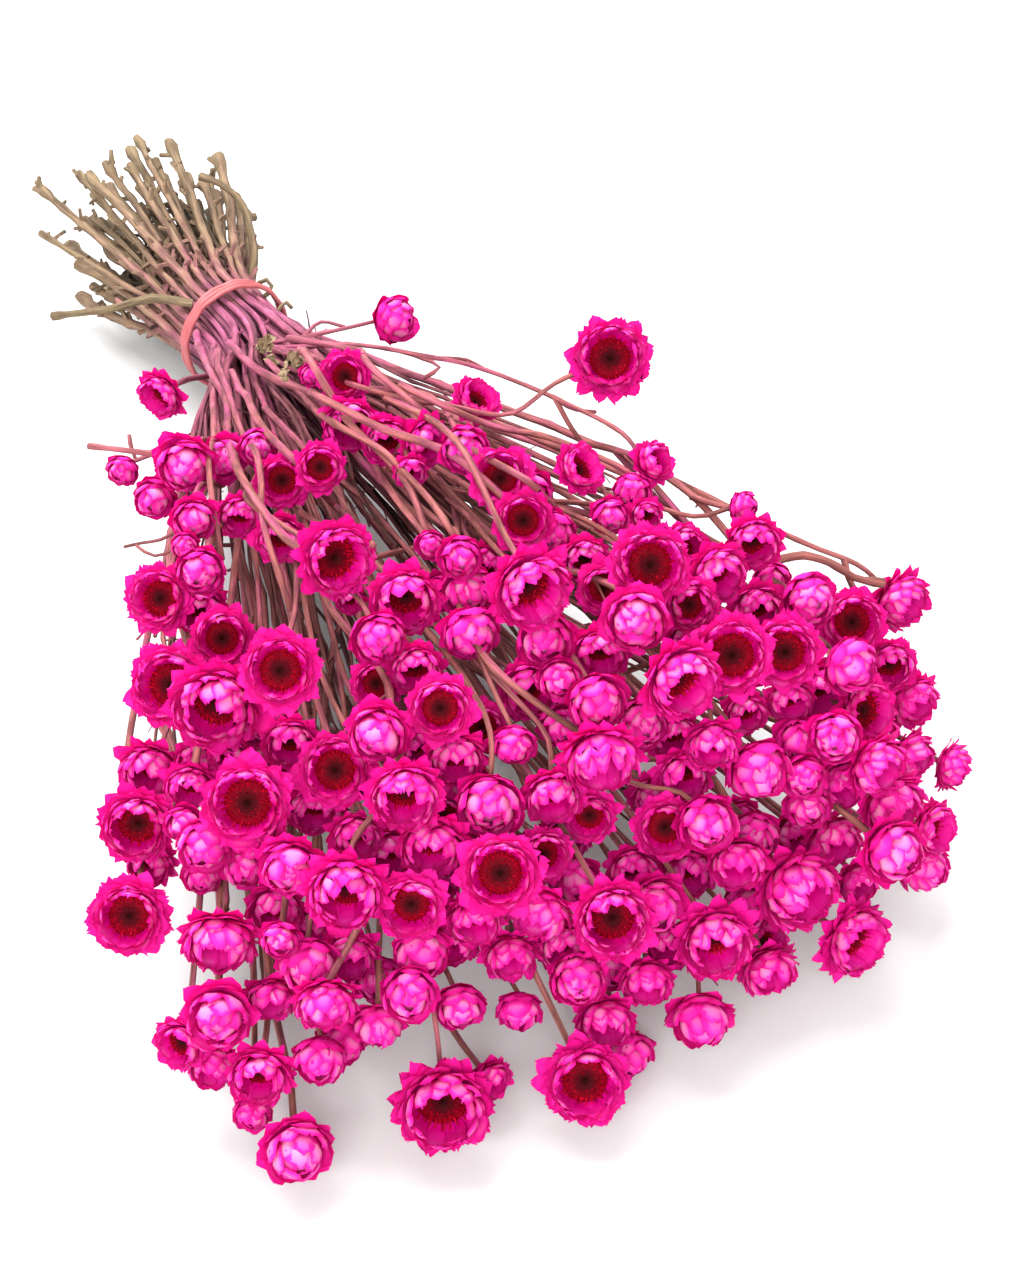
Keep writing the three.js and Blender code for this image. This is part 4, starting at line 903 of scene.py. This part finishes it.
def bract_material():
    """Thin pink paper, palest on the bulge and outer face of the inner ranks, partly as lighter pigment and
    partly as a painted highlight, veined, with light shining through.
    """
    finish = Finish("papery pink bract")
    blade, luck = finish.mark("blade"), finish.mark("luck")
    across, along, rank = finish.parts(blade)
    tint, outside, _ = finish.parts(luck)

    # paleness: partly lighter pigment and partly a painted highlight, on the bulge, the outer face and the
    # inner ranks
    bulge = finish.ramp(along, (0.25, (0, 0, 0)), (0.66, (1, 1, 1)), (1.0, (0.55, 0.55, 0.55)))
    edge = finish.math("POWER", finish.math("ABSOLUTE", across), 2.5)
    middle = finish.math("SUBTRACT", 1.0, finish.math("MULTIPLY", edge, 0.8))
    pale_and_highlight = finish.math("MULTIPLY", bulge, middle)
    for share in (
        finish.ranged(rank, (0.0, 0.6), (0.3, 1.0)),
        finish.math("MULTIPLY_ADD", outside, 0.45, 0.55),
        finish.math("MULTIPLY_ADD", tint, 0.5, 0.55),
    ):
        pale_and_highlight = finish.math("MULTIPLY", pale_and_highlight, share)
    pink = finish.ramp(pale_and_highlight, (0.0, (0.80, 0.0, 0.28)), (0.4, (0.95, 0.03, 0.48)), (1.0, (0.99, 0.40, 0.70)))

    spread = {0: blade, 1: (1.0, 0.18, 0.0), 2: luck}
    lengthwise = finish.lay("VectorMath", spread, operation="MULTIPLY_ADD").outputs["Vector"]
    wave = {"Vector": lengthwise, "Scale": 2.6, "Distortion": 1.3, "Detail": 2}
    veins = finish.lay("TexWave", wave, wave_type="BANDS", bands_direction="X").outputs["Fac"]
    tinted = finish.scaled(pink, finish.ranged(veins, to_ends=(0.86, 1.05)))
    finish.feed(finish.surface, {"Base Color": tinted, "Roughness": 0.5})
    finish.relieve(veins, 0.35, 0.0002, 0.14)

    glow = finish.lay("BsdfTranslucent", {"Color": tinted}).outputs["BSDF"]
    both = finish.lay("MixShader", {"Fac": 0.42, 1: finish.surface.outputs["BSDF"], 2: glow})
    finish.feed(finish.nodes["Material Output"], {"Surface": both.outputs["Shader"]})
    return finish.material


bract_pink = bract_material()
FOOT = [(0.08, -0.06), (0.17, -0.01)]
RECEPTACLE = FOOT + [(0.30, 0.10), (0.40, 0.21), (0.41, 0.25), (0.20, 0.26)]
BUD_CORE = FOOT + [(0.38, 0.16), (0.60, 0.50), (0.58, 0.85), (0.38, 1.12), (0.12, 1.26)]

for number, group in enumerate(groups, 1):
    bracts = Gathering()
    for place in group:
        for order, limb in enumerate(sprays[place]):
            head = limb["head"]
            chance = np.random.default_rng(9000 + place * 10 + order)
            head["turn"] = turned_to(head["face"], chance.uniform(0, 6.28))
            head["ruff"] = chance.uniform(0.2, 1.0) if head["open"] > 0.12 else chance.uniform(0, 0.25)
            head["luck"] = chance.uniform()
            small = min(max((9.5 - head["radius"]) / 4, 0), 1)
            head["full"] = head["radius"] * (HEAD_SWELL + SMALL_SWELL * small)
            size = next(size for size in SIZES if head["radius"] < size[0])
            _, rows, columns, opened_counts, shut_counts = size
            counts = shut_counts if head["open"] < SHUT_BELOW else opened_counts
            head["blade"] = (rows, np.linspace(-1, 1, columns))
            turn = chance.uniform(0, 6.28)
            for step, count in enumerate(counts):
                grow_rank(bracts, head, step / (len(counts) - 1), count, chance, turn)
                turn += math.pi / count + chance.uniform(-0.06, 0.06)
            if head["open"] < SHUT_BELOW:
                lathe(bracts, head, BUD_CORE, 10, blade=(0.3, 0.66, 0.8), luck=(0.4, 0.6, head["luck"]))
            else:
                lathe(bracts, head, RECEPTACLE, 10, blade=(0.9, 0.1, 0.0), luck=(0.2, 1, head["luck"]))
    bracts.piece(f"bracts_{number}", bract_pink)


# Discs
# The middle of each open head, grown with it: a flat cushion of tiny dark red florets, almost
# black towards a small pit, with rings of brighter threads that stand up and lean outwards.
CUSHION = [
    (0.36, 0.22), (0.51, 0.28), (0.50, 0.33), (0.38, 0.37), (0.26, 0.385), (0.13, 0.375), (0.06, 0.34),
    (0.025, 0.31),
]

# a ring's radius, its count of threads, their length in radii of the head, and their lean in degrees
FLORET_RINGS = [(0.22, 18, 0.06, 66), (0.29, 22, 0.09, 60), (0.36, 26, 0.12, 52), (0.44, 32, 0.16, 42)]
FLORET_HALF_WIDTH = 0.017


def grow_florets(gathering, head, ring_radius, count, length, lean, chance):
    """A ring of three-sided threads that lean outwards from the cushion."""
    turn = (np.arange(count) + chance.uniform(-0.3, 0.3, count)) * 2 * math.pi / count
    turn = turn + chance.uniform(0, 1)
    ray = np.column_stack([np.cos(turn), np.sin(turn), np.zeros(count)])
    side = np.column_stack([-ray[:, 1], ray[:, 0], np.zeros(count)])
    up = np.array([0, 0, 1.0])
    tilt = np.radians(lean + chance.normal(0, 12, count))[:, None]
    heading = ray * np.cos(tilt) + up * np.sin(tilt) + side * chance.normal(0, 0.2, count)[:, None]
    over = np.cross(side, heading)
    foot_radius = ring_radius + chance.normal(0, 0.012, count)
    height = np.interp(foot_radius, *zip(*CUSHION[:0:-1]))
    foot = ray * foot_radius[:, None] + up * (height - 0.02)[:, None]
    reach = (length * (1 + chance.normal(0, 0.2, count)))[:, None]
    wide = FLORET_HALF_WIDTH
    under = foot - over * wide * 0.5
    corners = [under - side * wide, under + side * wide, foot + over * wide]
    tops = [foot + heading * reach * 0.75 + (c - foot) * 1.25 for c in corners]
    tip = foot + heading * reach * 1.1
    places = on_head(head, np.stack(corners + tops + [tip], axis=1).reshape(-1, 3))
    start = (np.arange(count) * 7)[:, None, None]
    walls = np.array([[0, 1, 4, 3], [1, 2, 5, 4], [2, 0, 3, 5]])
    ends = np.array([[3, 4, 6], [4, 5, 6], [5, 3, 6], [2, 1, 0]])
    mark = np.array([0, 0, 0, 0.8, 0.8, 0.8, 1.0])
    luck = np.repeat(chance.uniform(0, 1, count), 7)
    marks = np.column_stack([np.full(count * 7, ring_radius), np.tile(mark, count), luck])
    gathering.add(places, [(walls + start).reshape(-1, 4), (ends + start).reshape(-1, 3)], floret=marks)


def disc_material():
    """Dark red, almost black in the pit, with brighter tips."""
    finish = Finish("dark red florets")
    from_middle, tip, luck = finish.parts(finish.mark("floret"))
    red = finish.ramp(
        finish.ranged(from_middle, (0.0, 0.42)),
        (0.0, (0.004, 0.0, 0.0)), (0.22, (0.030, 0.001, 0.002)), (0.5, (0.050, 0.0, 0.003)),
        (1.0, (0.17, 0.0, 0.008)))
    red = finish.blend(finish.math("MULTIPLY", tip, luck), red, (0.50, 0.0, 0.02))
    grain = finish.noise(finish.lay("TexCoord", {}).outputs["Object"], 2600, 2)
    dullness = finish.ranged(grain, to_ends=(0.5, 0.85))
    finish.feed(finish.surface, {"Base Color": red, "Roughness": dullness})
    finish.relieve(grain, 0.6, 0.0003, 0.05)
    return finish.material


disc_red = disc_material()

for number, group in enumerate(groups, 1):
    discs = Gathering()
    for place in group:
        for order, limb in enumerate(sprays[place]):
            head = limb["head"]
            if head["open"] < SHUT_BELOW:
                continue
            chance = np.random.default_rng(7000 + place * 10 + order)
            sides = 12 if head["radius"] < SMALL_HEAD else 20
            shades = np.repeat([[p[0], 0, 0.5] for p in CUSHION], sides, axis=0)
            lathe(discs, head, CUSHION, sides, floret=shades)
            for ring_radius, count, length, lean in FLORET_RINGS:
                shown = count if head["radius"] > SMALL_HEAD else count * 6 // 10
                grow_florets(discs, head, ring_radius, shown, length, lean, chance)
    discs.piece(f"discs_{number}", disc_red)


# Dry leaves
# A few old leaves that withered just in front of the tie: thin crumpled tan sheets, curled in on
# themselves, whose feet are still held between the stems they grew from.

# the pixel of the photograph where a leaf shows, its length, its half width and its turn in degrees
LEAVES = [
    ((256, 344), 6.0, 1.6, 15), ((260, 350), 5.5, 1.8, -50), ((265, 356), 5.0, 1.5, 35),
    ((285, 360), 5.5, 1.6, 5), ((289, 366), 5.0, 1.5, -60), ((283, 366), 4.5, 1.4, 80),
]
LEAF_ROWS = 8
LEAF_COLUMNS = 6
LEAF_THICKNESS = 0.3
SUNK_FOOT = 3


def crumple_leaf(gathering, pixel, long, wide, turn, chance):
    """One crumpled leaf, as a closed curled sheet with its foot sunk among the stems."""
    along = np.linspace(0, 1, LEAF_ROWS)[:, None]
    around = np.linspace(-1, 1, LEAF_COLUMNS)[None, :] * (1.1 + 0.7 * along)
    outline = np.sin(np.clip(along * 0.86 + 0.12, 0, 1) * math.pi) ** 0.6
    level = unit(np.cross(ahead, [0, 0, 1]))
    steep = np.cross(level, ahead)
    angle = math.radians(turn)
    heading = level * math.cos(angle) - steep * math.sin(angle)
    side = level * math.sin(angle) + steep * math.cos(angle)
    crumple = chance.normal(0, 0.34, (LEAF_ROWS, LEAF_COLUMNS, 3))
    bent = 0.35 * long * along * (1 - along)
    across = wide * outline * np.sin(around)
    towards = wide * outline * (1 - np.cos(around)) * 0.8 + bent - SUNK_FOOT * (1 - along) ** 2
    start = eye + sight_line(*pixel) * (foremost(pixel) - 1)
    front = (start + heading * (along * long)[..., None] + side * across[..., None]
             - ahead * towards[..., None] + crumple * wide)
    back = front[1:-1, 1:-1] + ahead * LEAF_THICKNESS
    places = np.concatenate([front.reshape(-1, 3), back.reshape(-1, 3)])
    bark = np.column_stack([places[:, 0] * 0.3, places[:, 2] * 0.3, places[:, 1] * 0.2])
    faces = blade_faces(LEAF_ROWS, LEAF_COLUMNS)
    gathering.add(places, [faces], bark=bark, growth=(-0.5, 0.3, 0.4))


leaves = Gathering()
chance = np.random.default_rng(640)
for pixel, long, wide, turn in LEAVES:
    crumple_leaf(leaves, pixel, long, wide, turn, chance)
leaves.piece("dry_leaves", wood)


# Rubber band
# One dyed rubber band, drawn three times round the neck and held by its own pull. Its rounds lie
# side by side, press into one another and rise and dip a little over the stems beneath.
BAND_ROUNDS = 3
ROUND_WIDTH = 1.7
ROUND_HEIGHT = 1.45
BAND_INSIDE = 18.4
BAND_STEPS = 96
BAND_SIDES = 12


def rubber_material():
    """Cloudy pink rubber with a dusty skin."""
    finish = Finish("dyed rubber")
    spot = finish.lay("TexCoord", {}).outputs["Object"]
    clouds = finish.noise(spot, 160, 4)
    pink = finish.ramp(clouds, (0.3, (0.30, 0.058, 0.062)), (0.75, (0.42, 0.10, 0.11)))
    dust = finish.noise(spot, 1500, 3)
    dullness = finish.ranged(dust, to_ends=(0.42, 0.66))
    finish.feed(finish.surface, {"Base Color": pink, "Roughness": dullness})
    finish.relieve(dust, 0.25, 0.0002, 0.5)
    return finish.material


band = Gathering()
axis = np.array([-math.sin(TIE_TURN), math.cos(TIE_TURN), 0])
level = np.array([math.cos(TIE_TURN), math.sin(TIE_TURN), 0])
rise = np.array([0, 0, 1.0])
section = np.linspace(0, 2 * math.pi, BAND_SIDES, endpoint=False)
flat = np.sign(np.cos(section)) * np.abs(np.cos(section)) ** 0.75
for turn_number in range(BAND_ROUNDS):
    rings = []
    offset = (turn_number - (BAND_ROUNDS - 1) / 2) * ROUND_WIDTH
    for k in range(BAND_STEPS):
        angle = 2 * math.pi * k / BAND_STEPS
        outward = level * math.cos(angle) + rise * math.sin(angle)
        over_stems = 0.16 * math.sin(angle * 9 + turn_number) + 0.10 * math.sin(angle * 17 + 2)
        drift = 0.18 * math.sin(angle * 3 + turn_number * 1.3) + 0.08 * math.sin(angle * 7)
        radius = BAND_INSIDE + ROUND_HEIGHT / 2 + over_stems
        centre = TIE_PLACE + axis * (offset + drift) + outward * radius
        rings.append(centre + np.outer(flat * ROUND_WIDTH * 0.51, axis)
                     + np.outer(np.sin(section) * ROUND_HEIGHT / 2, outward))
    first = np.arange(BAND_STEPS * BAND_SIDES).reshape(BAND_STEPS, BAND_SIDES)
    across = np.roll(first, -1, axis=1)
    on = np.roll(first, -1, axis=0)
    both = np.roll(across, -1, axis=0)
    band.add(np.concatenate(rings), [np.stack([first, on, both, across], axis=-1).reshape(-1, 4)])
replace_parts(band.piece("rubber_band", rubber_material()), "band")


# Floor and light
# A plain white sheet, with one broad soft light high behind the bunch and a pale room round it.
def floor_material():
    """White paper with a barely seen unevenness."""
    finish = Finish("white paper floor")
    grain = finish.noise(finish.lay("TexCoord", {}).outputs["Generated"], 30, 2)
    white = finish.ranged(grain, to_ends=(0.515, 0.525))
    finish.feed(finish.surface, {"Base Color": white, "Roughness": 0.9})
    return finish.material


FLOOR_REACH = 4.0
floor_mesh = bpy.data.meshes.new("floor")
floor_corners = [(x * FLOOR_REACH, y * FLOOR_REACH, 0) for x, y in ((-1, -1), (1, -1), (1, 1), (-1, 1))]
floor_mesh.from_pydata(floor_corners, [], [(0, 1, 2, 3)])
floor_mesh.materials.append(floor_material())
floor = bpy.data.objects.new("floor", floor_mesh)
bpy.context.scene.collection.objects.link(floor)


def soft_light(name, place, target, size, power):
    lamp = bpy.data.lights.new(name, "AREA")
    lamp.shape = "DISK"
    lamp.size = size
    lamp.energy = power
    shown = bpy.data.objects.new(name, lamp)
    shown.location = place
    shown.rotation_euler = (Vector(target) - Vector(place)).to_track_quat("-Z", "Y").to_euler()
    bpy.context.scene.collection.objects.link(shown)


soft_light("overhead", (-0.15, 0.55, 1.5), (0, -0.02, 0), 1.3, 50)
soft_light("front", (-0.6, -1.2, 0.9), (0, -0.05, 0.05), 1.1, 34)

world = bpy.data.worlds.new("pale room")
world.use_nodes = True
world.node_tree.nodes["Background"].inputs["Color"].default_value = (1, 1, 1, 1)
world.node_tree.nodes["Background"].inputs["Strength"].default_value = 1.2
bpy.context.scene.world = world
bpy.context.scene.view_settings.view_transform = "Standard"
